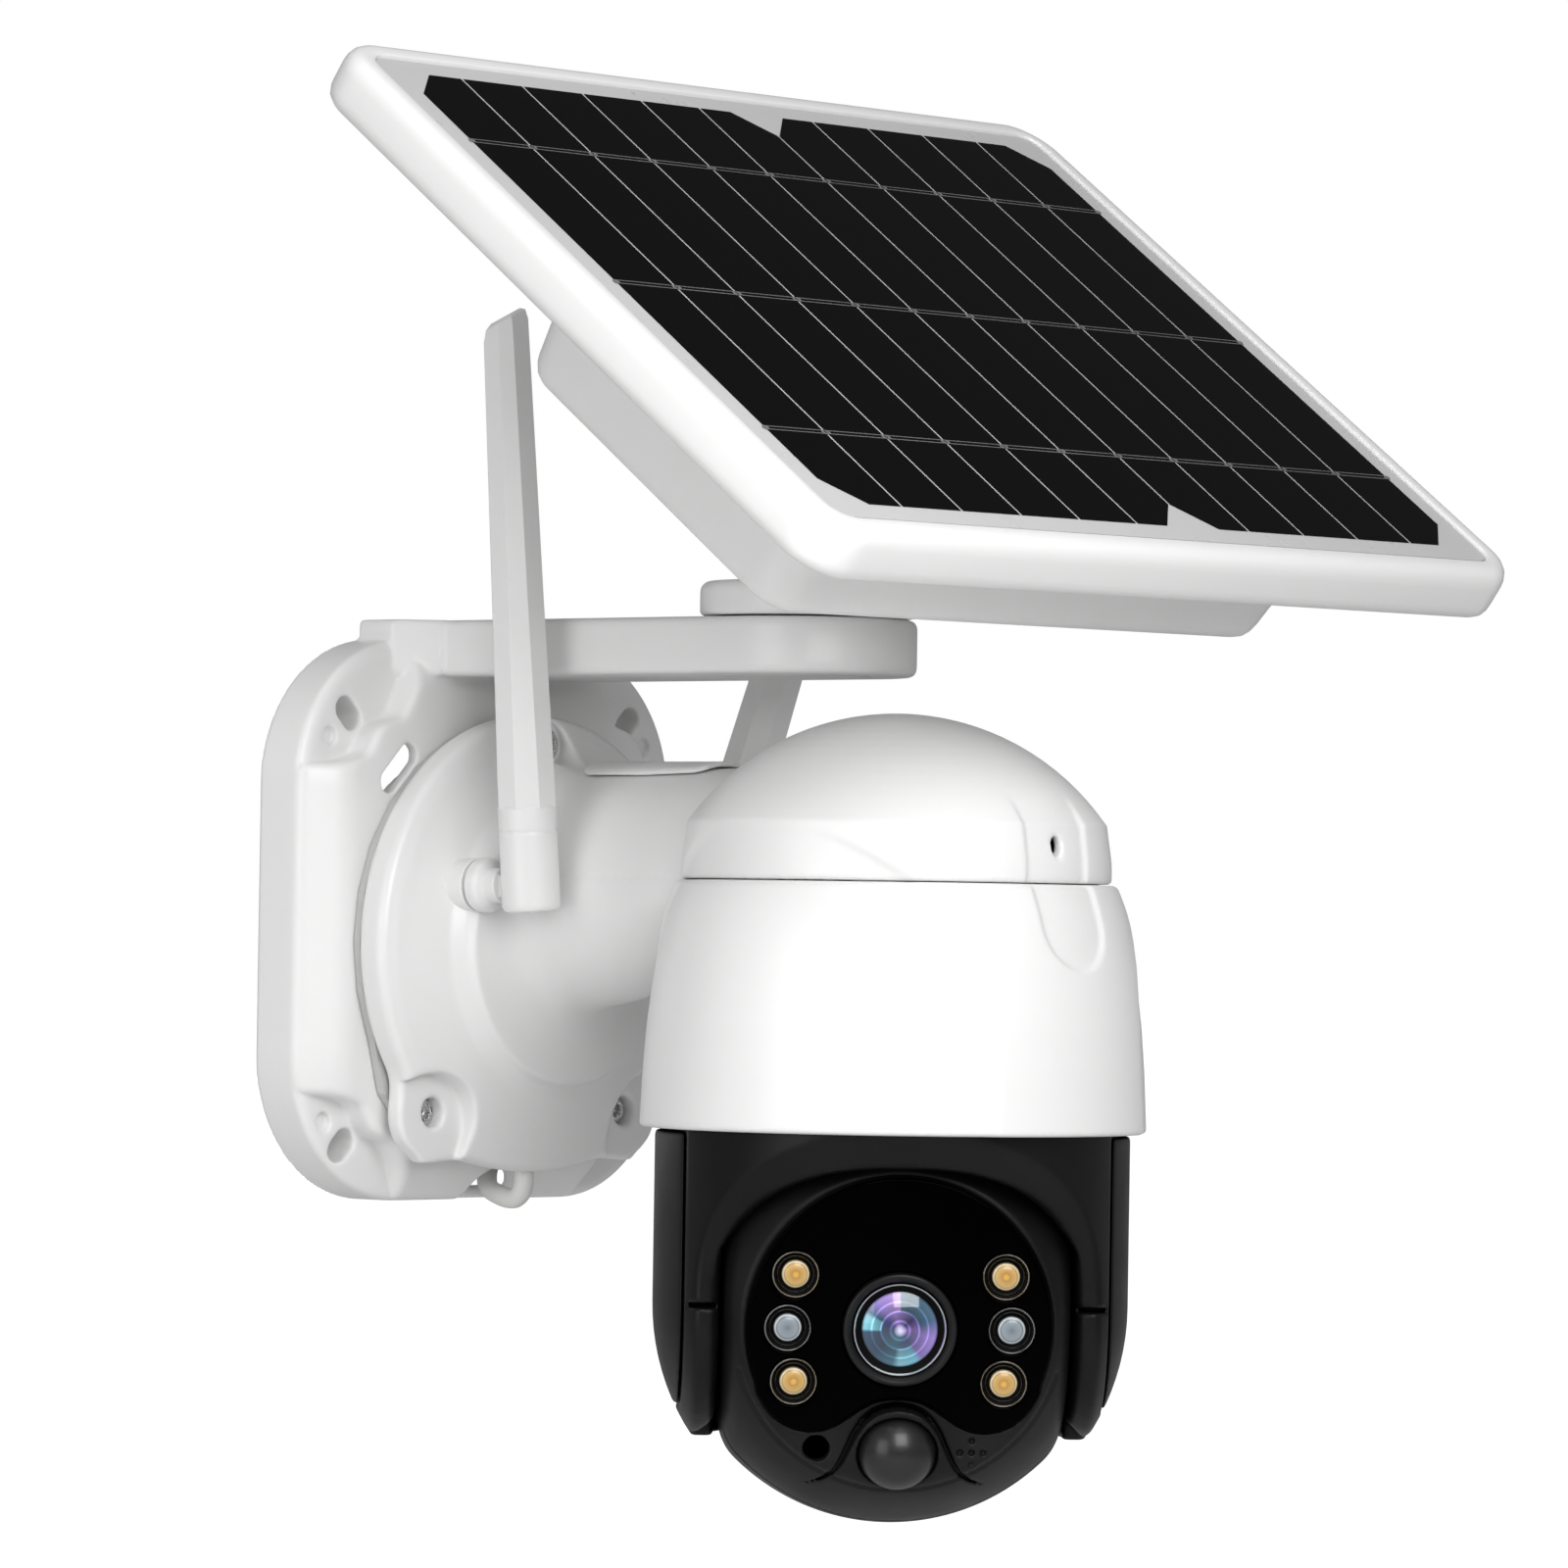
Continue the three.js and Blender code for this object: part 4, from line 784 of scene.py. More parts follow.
def make_screws():
    rise = -FLANGE_BACK
    seats = {"left": (-LUG_X, LUG_Z, rise + 1.3, 17, 2.8, 1.4),
             "right": (LUG_X, LUG_Z, rise + 1.3, 64, 2.8, 1.4),
             "top": (0, 36, rise + 6.3, 38, 3.7, 2.4)}
    for name, (x, z, seat, spin, radius, height) in seats.items():
        points, faces = phillips_head(radius, height, seat, seat - 3, 1.6)
        place = shift(x, 0, z) @ FORWARD @ turn(spin, "Z")
        piece = mesh_object(f"screw_{name}", points, faces.tolist(), place)
        fit(piece, "bracket", STEEL, "steel", f"flange_screw_{name}")
    points, faces = phillips_head(4.6, 3.3, 12.3, -16.5, 2.4)
    place = shift(0, ARM_END_Y, HINGE.z) @ turn(90, "Y")
    bolt = mesh_object("hinge_bolt_head", points, faces.tolist(), place)
    fit(bolt, "solar_swivel", STEEL, "steel", "hinge_bolt")
    f = Field((-6, -6, -17), (6, 6, -11), 0.16)
    hexagon = polygon(f.x[:, :, 0], f.y[:, :, 0], arc(0, 0, 4.6, 0, 300, 5))[:, :, None]
    crowned = turned_z(f, [(-5, -16), (3.9, -16), (4.7, -15.2), (4.7, -13.1), (3.9, -12.3), (-5, -12.3)])
    nut = cut(common(hexagon, crowned), rod(f.x, f.y, 2.45), radius=0.2)
    fit(f.mesh("hinge_nut_hex", nut, place, 1), "solar_swivel", STEEL, "steel", "hinge_nut")


# ---------- the solar panel ----------
TRAY_RIM = 6.0
TRAY_DEPTH = 12.2
TRAY_CORNER = 11.0
BOX = {"half_u": 81.0, "half_v": 47.25, "v": -14.3, "bottom": -39.7}


def tray_ring(inset, height, steps=10):
    half_u = GLASS["width"] / 2 + TRAY_RIM - inset
    half_v = GLASS["height"] / 2 + TRAY_RIM - inset
    return [(u, v, height) for u, v in rounded_outline(half_u, half_v, max(TRAY_CORNER - inset, 2.5), steps)]


def box_ring(inset, height):
    outline = rounded_outline(BOX["half_u"] - inset, BOX["half_v"] - inset, max(12 - inset, 3), 8)
    return [(u, v + BOX["v"], height) for u, v in outline]


def make_panel():
    profile = [(2.8, -TRAY_DEPTH), (1.5, -11.8), (0.55, -10.9), (0.1, -9.6), (0, -8.4), (0, -4.0),
               (0.2, -2.6), (0.75, -1.3), (1.7, -0.4), (2.9, 0), (5.1, 0), (5.5, -0.12), (5.7, -0.45),
               (5.7, -3.7), (11, -3.7), (11, -9.6)]
    points, faces = loft([tray_ring(inset, height) for inset, height in profile])
    tray = solid("panel_tray", points, faces, PANEL_PLACE, 40)
    fit(tray, "solar_panel", WHITE, "white_shell", "panel_frame")

    profile = [(7.2, BOX["bottom"]), (5.4, -39.3), (4.1, -38.2), (3.3, -36.7), (2.9, -35.0), (0.3, -13.4),
               (0, -12.5), (2.5, -12.5), (5.0, -36.8), (7.5, -37.2)]
    points, faces = loft([box_ring(inset, height) for inset, height in profile])
    back = solid("battery_case", points, faces, PANEL_PLACE, 40)
    fit(back, "solar_panel", WHITE, "white_shell", "battery_box")

    f = Field((-20, -48, -62), (20, 10, -38), 0.4)
    hinge = PANEL_PLACE.inverted() @ Vector((0, ARM_END_Y, HINGE.z))
    foot = block(f, (-18, hinge.y - 14, -42.0), (18, hinge.y + 14, -39.9), 0.9)
    eye = rod(f.y - hinge.y, f.z - hinge.z, LUG_RADIUS)
    web = np.maximum(np.abs(f.y - hinge.y) - LUG_RADIUS, np.maximum(hinge.z - f.z, f.z + 41))
    eye = common(np.minimum(eye, web), np.abs(f.x) - LUG_IN + 0.3, radius=1.0)
    knuckle = cut(join([foot, eye], 3.0), rod(f.y - hinge.y, f.z - hinge.z, 2.7), radius=0.3)
    piece = f.mesh("panel_hinge_eye", knuckle, PANEL_PLACE, 1)
    fit(piece, "solar_panel", WHITE, "white_shell", "panel_knuckle")


STRIPS = 11
FIRST_BLOCK = 6
CELL_MARGIN = 5.2
STRIP_GAP = 0.7
CELL_CHAMFER = 8.0
BUSBARS = (-1 / 3, 0, 1 / 3)


def slab(outline, low, high):
    """A flat plate of any outline."""
    return loft([[(u, v, low) for u, v in outline], [(u, v, high) for u, v in outline]])


def gather(shapes):
    points, faces = [], []
    for more_points, more_faces in shapes:
        faces += [[v + len(points) for v in face] for face in more_faces]
        points += more_points
    return points, faces


def make_cells():
    """Backsheet, half-cut cell strips and their tabbing."""
    half_u, half_v = GLASS["width"] / 2 - CELL_MARGIN, GLASS["height"] / 2 - CELL_MARGIN
    pitch = 2 * half_u / STRIPS
    strips, tabs = [], []
    for i in range(STRIPS):
        left, right = -half_u + i * pitch + STRIP_GAP / 2, -half_u + (i + 1) * pitch - STRIP_GAP / 2
        cut_left = CELL_CHAMFER if i in (0, FIRST_BLOCK) else 0
        cut_right = CELL_CHAMFER if i in (FIRST_BLOCK - 1, STRIPS - 1) else 0
        outline = [(left, half_v - cut_left), (left, -half_v + cut_left)]
        outline += [(left + cut_left, -half_v)] if cut_left else []
        lower = [(right - cut_right, -half_v), (right, -half_v + cut_right)]
        upper = [(right, half_v - cut_right), (right - cut_right, half_v)]
        outline += [*lower, *upper] if cut_right else [(right, -half_v), (right, half_v)]
        outline += [(left + cut_left, half_v)] if cut_left else []
        strips.append(slab(outline, -0.5, -0.42))
        for share in BUSBARS:
            v = 2 * share * half_v
            for offset in (-0.55, 0.55):
                low, high = v + offset - 0.11, v + offset + 0.11
                ribbon = [(left - 0.1, low), (right + 0.1, low), (right + 0.1, high), (left - 0.1, high)]
                tabs.append(slab(ribbon, -0.43, -0.38))
            for u in (left, right):
                tabs.append(slab([(u + a, v + b * 0.8) for a, b in arc(0, 0, 0.9, 0, 330, 11)], -0.42, -0.36))
    sheet = slab(rounded_outline(GLASS["width"] / 2 - 0.4, GLASS["height"] / 2 - 0.4, 3.6, 6), -3.4, -0.55)
    fit(solid("cell_backsheet", *sheet, PANEL_PLACE, 40), "solar_panel", BACKSHEET, "panel_glass",
        "panel_glass")
    fit(solid("cell_strips", *gather(strips), PANEL_PLACE, 40), "solar_panel", CELLS, "cells",
        "cell_laminate")
    fit(solid("cell_tabbing", *gather(tabs), PANEL_PLACE, 40), "solar_panel", TABBING, "cells")


# ---------- the head: dome, skirt and their pressed-in arches ----------
FLANGE_Z = -6.7
FLANGE_BACK = -21.1
LUG_X, LUG_Z = 29.8, -43.0
CONNECTOR_X, CONNECTOR_Z = 28.5, 5.5
DOME_RIM = 43.4
DOME_SPHERE = 52.8
SKIRT_OUTLINE = [(44.3, 6.9), (44.95, 6.0), (46.0, 3.4), (46.9, 1.0), (47.75, -1.8), (48.45, -4.6),
                 (49.5, -9.6), (50.35, -15.2), (51.2, -22.0), (51.9, -31.0), (52.5, -43.9)]
ARCH = {"base_half": 48.7, "peak": 21.2, "depth": 1.15, "band": 2.9}
BAND = {"half": 9.2, "bottom": -10.3, "top": 27.0, "depth": 0.75, "band": 1.5}


def dome_section(shrink, bottom):
    centre = DOME_TOP - DOME_SPHERE
    radius, rim = DOME_SPHERE - shrink, DOME_RIM - shrink
    start = math.degrees(math.acos(rim / radius))
    return [(-5, bottom), (rim, bottom), *arc(0, centre, radius, start, 90, 16), (-5, centre + radius)]


def arch_recess(f):
    """Share of the flank recess, 0 outside and 1 on its floor, seen along X."""
    height = np.clip((ARCH["peak"] - f.axes[2]) / (ARCH["peak"] - SKIRT_BOTTOM), 0, 1)
    half = ARCH["base_half"] * np.sqrt(1 - (1 - height) ** 2.6)
    steepness = np.hypot(1, np.gradient(half, f.voxel))
    inside = (half - np.abs(f.y - HEAD_Y)) / steepness
    return ease(inside / ARCH["band"]) * ease((np.abs(f.x) - 14) / 8)


def front_band(f):
    """Share of the narrow U-shaped recess down the front of the head, seen along Y."""
    bottom, half = BAND["bottom"], BAND["half"]
    straight = np.maximum(np.abs(f.x) - half, bottom - f.z)
    inside = np.where(f.z < bottom + half, rod(f.x, f.z - bottom - half, half), straight)
    front = ease((HEAD_Y - f.y - 12) / 8) * ease((BAND["top"] - f.z) / 8)
    return ease(-inside / BAND["band"] + 0.5) * front


def pressed(f, body):
    """Raises the wall between the flank recesses and presses the band in."""
    raised = ARCH["depth"] * ease((ARCH["peak"] - f.z) / 11) * (1 - arch_recess(f))
    return body - raised + BAND["depth"] * front_band(f)


def elbow(f, grow=0.0):
    """The hollow arm from the flange to the head."""
    y = -f.y
    along = ease((y - 44) / 48)
    half_width = 20.5 + 5.5 * ease((y - 62) / 33) + grow
    height = np.where(f.z > 5.4, 25.5 + grow, 25.5 - 12.0 * along + grow)
    reach = np.sqrt((f.x / half_width) ** 2 + ((f.z - 5.4) / height) ** 2)
    return (reach - 1) * np.minimum(half_width, height)


def make_head_skirt():
    f = Field((-54, HEAD_Y - 54, SKIRT_BOTTOM - 2), (54, HEAD_Y + 54, SEAM_Z + 2), 0.5)
    wall = turned_z(f, [(-5, 12), (43.6, 12), (43.6, 7.3), *SKIRT_OUTLINE, (53, -52), (-5, -52)], 0, HEAD_Y)
    ends = np.abs(f.z - (SEAM_Z - 0.2 + SKIRT_BOTTOM) / 2) - (SEAM_Z - 0.2 - SKIRT_BOTTOM) / 2
    outer = common(pressed(f, wall), ends, radius=0.8)
    inner = turned_z(f, [(-5, 9), (41.6, 9), (41.6, 5), *[(r - 2.5, z) for r, z in SKIRT_OUTLINE[2:-1]],
                         (50.1, -48), (-5, -48)], 0, HEAD_Y)
    opening = np.maximum(elbow(f, 0.4), HEAD_Y - f.y)
    body = cut(cut(outer, inner, radius=0.6), opening)
    fit(f.mesh("skirt_shell", body), "bracket", WHITE, "white_shell", "head_skirt")


def flange_flat(f, inset=0.0):
    """The flange's outline, seen along Y: a circle, with a squarer foot for its two screw lugs."""
    circle = rod(f.x, f.z - FLANGE_Z, 49 - inset)
    lugs = rod(np.abs(f.x) - 31.0, f.z + 43.5, 9.0 - inset)
    foot = np.maximum(np.abs(f.x) - 31, np.abs(f.z + 35) - 17.0 + inset)
    return join([circle, lugs, foot], 6)


def make_camera_base():
    f = Field((-52, HEAD_Y - 46, -58.5), (52, -19.5, 44), 0.55)
    rise = -FLANGE_BACK
    rim = prism(flange_flat(f), -f.y, rise, rise + 7.2, 1.1)
    cone = turned_y(f, [(-5, rise), (46, rise), (47.0, rise + 6.9), (45.5, rise + 8.2), (33.5, rise + 12.4),
                        (31.0, rise + 14.6), (30.0, rise + 16.6), (-5, rise + 17.4)], 0, FLANGE_Z)
    in_head = np.minimum(np.maximum(SEAM_Z - f.z, HEAD_Y + 2 - f.y),
                         np.maximum(f.z - SEAM_Z, HEAD_Y + 35 - f.y))
    arm = np.maximum(np.maximum(elbow(f), f.y + 30), in_head)
    dome = common(pressed(f, turned_z(f, dome_section(0, SEAM_Z - 8), 0, HEAD_Y)), SEAM_Z - f.z, radius=0.5)
    spigot = np.maximum(rod(f.x, f.y - HEAD_Y, 41.2), np.abs(f.z - SEAM_Z) - 2.2)
    dome = np.minimum(dome, spigot)
    body = join([join([join([rim, cone], 2.5), arm], 10), dome], 1.0)

    tools = []
    for side in (-1, 1):
        tools.append(np.maximum(rod(f.x - side * (LUG_X + 3), f.z - LUG_Z + 3, 11.5), f.y + rise + 4.8))
        tools.append(np.maximum(rod(f.x - side * LUG_X, f.z - LUG_Z, 3.2), f.y + rise + 1.2))
        tools.append(np.maximum(rod(f.x - side * LUG_X, f.z - LUG_Z, 1.9), f.y + 20))
    tools.append(np.maximum(rod(f.x, f.z - 36, 5.4), np.abs(f.y + 37.4) - 10))
    body = cut(body, *tools, radius=1.0)
    seats = [np.maximum(rod(f.x - side * CONNECTOR_X, f.z - CONNECTOR_Z, 4.7),
                        np.abs(f.y + 36.6) - 9) for side in (-1, 1)]
    body = cut(body, *seats, radius=0.5)
    pin_hole = np.maximum(np.sqrt(f.x ** 2 + ((f.z - SEAM_Z - 7.5) / 1.45) ** 2) - 1.5, f.y - HEAD_Y + 30)
    posts = [rod(np.abs(f.x) - LUG_X - 3, f.z - LUG_Z + 3, 13), rod(f.x, f.z - 36, 7.5),
             rod(np.abs(f.x) - CONNECTOR_X, f.z - CONNECTOR_Z, 9.5)]
    back_hollow = cut(np.maximum(flange_flat(f, 2.6), -f.y - rise - 5), *posts)
    hollow = turned_z(f, dome_section(2.6, SEAM_Z - 20), 0, HEAD_Y)
    duct = np.maximum(elbow(f, -2.6), np.maximum(f.y + 18, HEAD_Y + 10 - f.y))
    body = cut(body, hollow, duct, back_hollow, pin_hole, radius=0.5)
    fit(f.mesh("base_and_dome", body), "bracket", WHITE, "white_shell", "camera_base")

    g = Field((-12, -85.5, 5), (12, -43, 34), 0.4)
    lid = np.maximum(elbow(g, 1.5), -elbow(g, 0.3))
    edge = rounded_rect(g.x, g.y + 64.25, 9.0, 18.25, 3.5)
    lid = common(lid, np.maximum(edge, 8 - g.z), radius=1.6)
    fit(g.mesh("card_slot_lid", lid, ROW, 1), "bracket", WHITE, "white_shell", "card_cover")


# ---------- antennas ----------
ANTENNA_Y = -52.0
ANTENNAS = {"left": (-1, 5.0), "right": (1, 22.8)}


def make_antennas():
    for name, (side, lean) in ANTENNAS.items():
        seat = shift(side * CONNECTOR_X, 0, CONNECTOR_Z)
        washer = ring_lathe([(2.2, 23), (4.1, 23), (4.1, 27.9), (4.75, 28.1), (4.75, 29.3), (4.5, 29.6),
                             (3.2, 29.6), (3.2, 39.5), (2.2, 39.5)], 48)
        fit(solid(f"connector_{name}", *washer, seat @ FORWARD, 30), "bracket", WHITE_NYLON, "nylon",
            f"antenna_connector_{name}")
        nut = ring_lathe([(4.6, 31), (5.7, 31), (5.7, 36.6), (5.5, 36.9), (4.75, 36.9), (4.6, 36.7)], 64)
        fit(solid(f"connector_nut_{name}", *nut, seat @ FORWARD, 30), "bracket", WHITE, "white_shell")

        f = Field((-7, -56, -9), (7, -30, 9), 0.25)
        sleeve = turned_y(f, [(3.5, 31), (4.1, 31), (4.4, 31.4), (4.4, 37.3), (5.4, 37.6), (5.8, 38.1),
                              (5.8, 40.2), (5.3, 40.9), (3.75, 41.5), (3.75, 44.6), (-5, 44.6), (-5, 41),
                              (3.5, 41)])
        a = math.radians(side * lean)
        across, up = f.x * math.cos(a) - f.z * math.sin(a), f.x * math.sin(a) + f.z * math.cos(a)
        tongue = np.maximum(np.maximum(np.abs(across) - 2, np.abs(up) - 2.3), np.abs(f.y + 47.5) - 4.5)
        pivot = np.maximum(rod(f.y + 52, up, 4.1), np.abs(across) - 2)
        collar = join([sleeve, np.minimum(tongue, pivot)], 0.6)
        body = f"antenna_{name}_swivel"
        fit(f.mesh(f"collar_{name}", collar, seat, 1), body, WHITE, "white_shell", f"antenna_collar_{name}")

        place = shift(side * CONNECTOR_X, ANTENNA_Y, CONNECTOR_Z) @ turn(side * lean, "Y")
        fit(paddle(name, place), f"antenna_{name}_blade", WHITE, "white_shell", f"antenna_paddle_{name}")


def paddle(name, place):
    """A round sleeve at the pivot that turns into a tapered blade with facets and a slanted tip."""
    g = Field((-7.5, -7.5, -6.5), (7.5, 7.5, 18), 0.3)
    foot = turned_z(g, [(-5, -5.5), (4.9, -5.5), (5.9, -5.0), (6.2, -4.1), (6.2, 11.3), (6.0, 11.5),
                        (6.0, 11.8), (6.2, 12), (6.2, 17.2), (-5, 17.2)])
    slot = np.maximum(np.maximum(np.abs(g.x) - 2.4, -g.y - 4.8), g.z - 5)
    points, faces = g.surface(cut(foot, slot, radius=0.4), 1)
    shapes = [(points.tolist(), faces.tolist())]
    tip = 121.5

    def section(height, half_x, half_y, facet, lift=0.0):
        corners = [(half_x, -half_y + facet), (half_x, half_y - facet), (half_x - facet, half_y),
                   (-half_x + facet, half_y), (-half_x, half_y - facet), (-half_x, -half_y + facet),
                   (-half_x + facet, -half_y), (half_x - facet, -half_y)]
        return [(x, y, height + lift * (x - y)) for x, y in corners]

    rings = [section(16.5, 6.05, 6.05, 3.6), section(24, 5.95, 5.95, 3.5), section(60, 5.35, 5.2, 2.9),
             section(tip - 4.5, 4.6, 4.3, 2.2, 0.35), section(tip - 2.2, 4.1, 3.8, 2.0, 0.35),
             section(tip - 1.4, 2.9, 2.7, 1.2, 0.35)]
    blade_points, blade_faces = loft(rings)
    shapes.append((blade_points, blade_faces))
    piece = solid(f"blade_{name}", *gather(shapes), place, 25)
    bevel = piece.modifiers.new("edges", "BEVEL")
    bevel.width = 0.45 * MM
    bevel.segments = 2
    bevel.limit_method = "ANGLE"
    bevel.angle_limit = math.radians(20)
    return piece


# ---------- the yoke that pans ----------
BALL_Z = TILT.z
ARM_INNER = 36.2
COVER_X = 43.5
YOKE_ARCH = {"height": 28.5, "power": 2.5, "bevel_side": 5.0, "bevel_top": 7.0, "bevel_depth": 5.5}
YOKE_OUTLINE = [(-5, -29), (44.2, -29), (46.2, -31), (46.2, -39), (48.2, -39.6), (49.2, -41),
                *arc(0, -80, 49.2, 0, -34.26, 10), (-5, -107.7)]


def make_yoke():
    f = Field((-50.5, -50.5, -109), (50.5, 50.5, -27.5), 0.55)
    outer = turned_z(f, YOKE_OUTLINE)
    slice_ = np.abs(f.x) - ARM_INNER
    socket = np.maximum(np.sqrt(f.x ** 2 + f.y ** 2 + (f.z - BALL_Z) ** 2) - 46.7, slice_)
    bevel = np.clip(1 + outer / YOKE_ARCH["bevel_depth"], 0, 1) ** 1.4
    half = ARM_INNER + YOKE_ARCH["bevel_side"] * bevel
    height = YOKE_ARCH["height"] + YOKE_ARCH["bevel_top"] * bevel
    power = YOKE_ARCH["power"]
    reach = (np.abs(f.x / half) ** power + (np.maximum(f.z - BALL_Z, 0) / height) ** power) ** (1 / power)
    arch = np.maximum((reach - 1) * height, f.y)
    pocket = np.maximum(COVER_X - np.abs(f.x), np.abs(f.z + 72.75) - 28.55)
    slit = np.maximum(np.abs(f.z - BALL_Z + 0.3) - 0.4,
                      np.maximum(np.abs(np.abs(f.x) - 39.8) - 2.9, f.y + 20))
    slit = np.maximum(slit, -(outer + 5.0))
    bores = [rod(f.x, f.y, 7), np.maximum(rod(f.y, f.z - BALL_Z, 6.3), -slice_ - 8)]
    gear = np.maximum(rod(f.y, f.z - BALL_Z, 12), np.maximum(f.x + 38, -f.x - 44.5))
    body = cut(outer, arch, radius=0.8)
    body = cut(body, socket, radius=0.6)
    body = cut(body, pocket, slit, gear, *bores, radius=0.4)
    fit(f.mesh("yoke_body", body, PAN_PLACE), "pan_yoke", BLACK, "black_shell", "yoke_shell")
    for name, side in (("left", -1), ("right", 1)):
        low, high = (side * 42, side * 50.5) if side > 0 else (side * 50.5, side * 42)
        g = Field((low, -27, -103), (high, 27, -43), 0.4)
        space = np.maximum(COVER_X + 0.3 - side * g.x, np.abs(g.z + 72.75) - 28.25)
        cover = common(turned_z(g, YOKE_OUTLINE), space, radius=0.8)
        fit(g.mesh(f"yoke_side_{name}", cover, PAN_PLACE), "pan_yoke", BLACK, "black_shell",
            f"yoke_cover_{name}")


# ---------- the tilting ball ----------
BALL_RADIUS = 45.7
BALL_SIDE = 35.5
FACE_Y = -33.3
PARTING_Y = -14.0
LAMPS = [(-21.4, 11), (-22.8, 0), (-21.4, -11), (21.4, 11), (22.8, 0), (21.4, -11)]
INFRARED = (1, 4)
PIR = {"y": -32.5, "z": -25.0, "lean": 16.0, "radius": 8.0}
WINDOW_RADIUS = 31.3
SHELL_FACE_Y = -32.6
BELL = [(0, -15.6), (2.8, -16.0), (5.2, -17.1), (7.2, -19.0), (8.8, -21.6), (10.1, -24.6), (11.5, -27.6),
        (13.2, -30.2), (15.4, -32.0), (18.0, -33.2), (18.0, -44.0)]


def window_outline(inset):
    """The face circle, cut below by a waist round the motion sensor."""
    radius = WINDOW_RADIUS - inset
    lobe = [(29.0, -13.6), (27.7, -16.0), (25.9, -18.2), (23.6, -19.9), (20.9, -21.1), (17.9, -21.6),
            (15.0, -21.3), (12.4, -20.2), (10.0, -18.6), (7.6, -16.9), (5.0, -15.5), (2.5, -14.9),
            (0, -14.7)]
    right = [(x - inset * math.copysign(0.6, x - 18), z + inset) for x, z in lobe[:-1]]
    left = [(-x, z) for x, z in right]
    return arc(0, 0, radius, -22, 202, 60) + left + [(0, lobe[-1][1] + inset)] + right[::-1]


def flat_xz(f, outline):
    return np.swapaxes(polygon(f.x[:, 0, :], f.z[0, :, :], outline)[:, :, None], 1, 2)


def in_pir_frame(f):
    """Distance forward along the motion sensor's axis, and the place across it."""
    a = math.radians(PIR["lean"])
    y, z = f.y - PIR["y"], f.z - PIR["z"]
    return -y * math.cos(a) - z * math.sin(a), z * math.cos(a) - y * math.sin(a)


def make_ball():
    f = Field((-37, -40.5, -47), (37, -13, 47), 0.42)
    sphere = np.sqrt(f.x ** 2 + f.y ** 2 + f.z ** 2) - BALL_RADIUS
    ball = common(sphere, np.abs(f.x) - BALL_SIDE, radius=3.5)
    front = common(ball, SHELL_FACE_Y - f.y, radius=0.9)
    forward, up = in_pir_frame(f)
    bell = flat_xz(f, BELL + [(-x, z) for x, z in BELL[:0:-1]])
    mound = common(common(sphere, bell, radius=2.2), forward - 2.7, radius=1.6)
    groove = np.maximum(np.abs(bell + 0.1) - 0.4 * ease((f.z + 34.5) / 4), -33.2 - f.z)
    trim_edge = np.abs(rod(f.x, f.z, 33.6)) - 0.35
    trim_edge = np.maximum(np.maximum(trim_edge, f.z + 9), -(ball + 0.35))
    groove = np.maximum(groove, -(np.minimum(front, mound) + 1.6))
    body = cut(np.minimum(front, mound), groove, trim_edge, radius=0.3)
    recess = np.maximum(flat_xz(f, window_outline(0)), f.y - FACE_Y - 1.4)
    tools = [recess, rod(f.x, f.z, 10), np.maximum(rod(f.x, up, PIR["radius"] + 0.2), -5 - forward)]
    tools += [rod(f.x - x, f.z - z, 3.95) for x, z in LAMPS]
    tools.append(np.maximum(rod(f.x + 16.4, f.z + 25, 2.7), f.y + 28))
    for dx, dz in ((0, 0), (2.4, 0), (-2.4, 0), (0, 2.4), (0, -2.4)):
        tools.append(np.maximum(rod(f.x - 15.3 - dx, f.z + 25.5 - dz, 0.62), f.y + 31.6))
    inner = np.maximum(np.maximum(sphere + 2.4, np.abs(f.x) - BALL_SIDE + 2.2), FACE_Y + 4.6 - f.y)
    body = cut(np.maximum(body, f.y - PARTING_Y), inner, *tools, radius=0.35)
    fit(f.mesh("ball_face", body, TILT_PLACE, 1), "camera_ball", BLACK_SATIN_PAINTED_LIGHTER, "black_shell",
        "ball_front_shell")

    g = Field((-45, PARTING_Y - 1, -47), (45, 47, 47), 0.55)
    sphere = np.sqrt(g.x ** 2 + g.y ** 2 + g.z ** 2) - BALL_RADIUS
    ball = common(sphere, np.abs(g.x) - BALL_SIDE, radius=3.5)
    stub = np.maximum(rod(g.y, g.z, 6), np.abs(np.abs(g.x) - 38.75) - 4.25)
    hollow = np.maximum(sphere + 2.4, np.abs(g.x) - BALL_SIDE + 2.2)
    rear = cut(np.minimum(np.maximum(ball, PARTING_Y + 0.3 - g.y), stub), hollow, rod(g.y, g.z, 3.5),
               radius=0.3)
    fit(g.mesh("ball_back", rear, TILT_PLACE), "camera_ball", BLACK, "black_shell", "ball_rear_shell")


def make_window():
    f = Field((-32, -35, -24), (32, -31, 32), 0.25)
    holes = [rod(f.x, f.z, 11.75)] + [rod(f.x - x, f.z - z, 4.95) for x, z in LAMPS]
    plate = prism(flat_xz(f, window_outline(0.3)), -f.y, 32.2, 33.7, 0.2)
    fit(f.mesh("face_glass", cut(plate, *holes, radius=0.3), TILT_PLACE, 1), "camera_ball", GLOSS, "window",
        "face_window")


# Heights forward of the tilt axis.
FACE = -FACE_Y


def turned_piece(name, profile, place, material, slot, *nodes, sharp=32, ring=False, body="camera_ball"):
    shape = ring_lathe(profile) if ring else lathe(profile)
    return fit(solid(name, *shape, place, sharp), body, material, slot, *nodes)


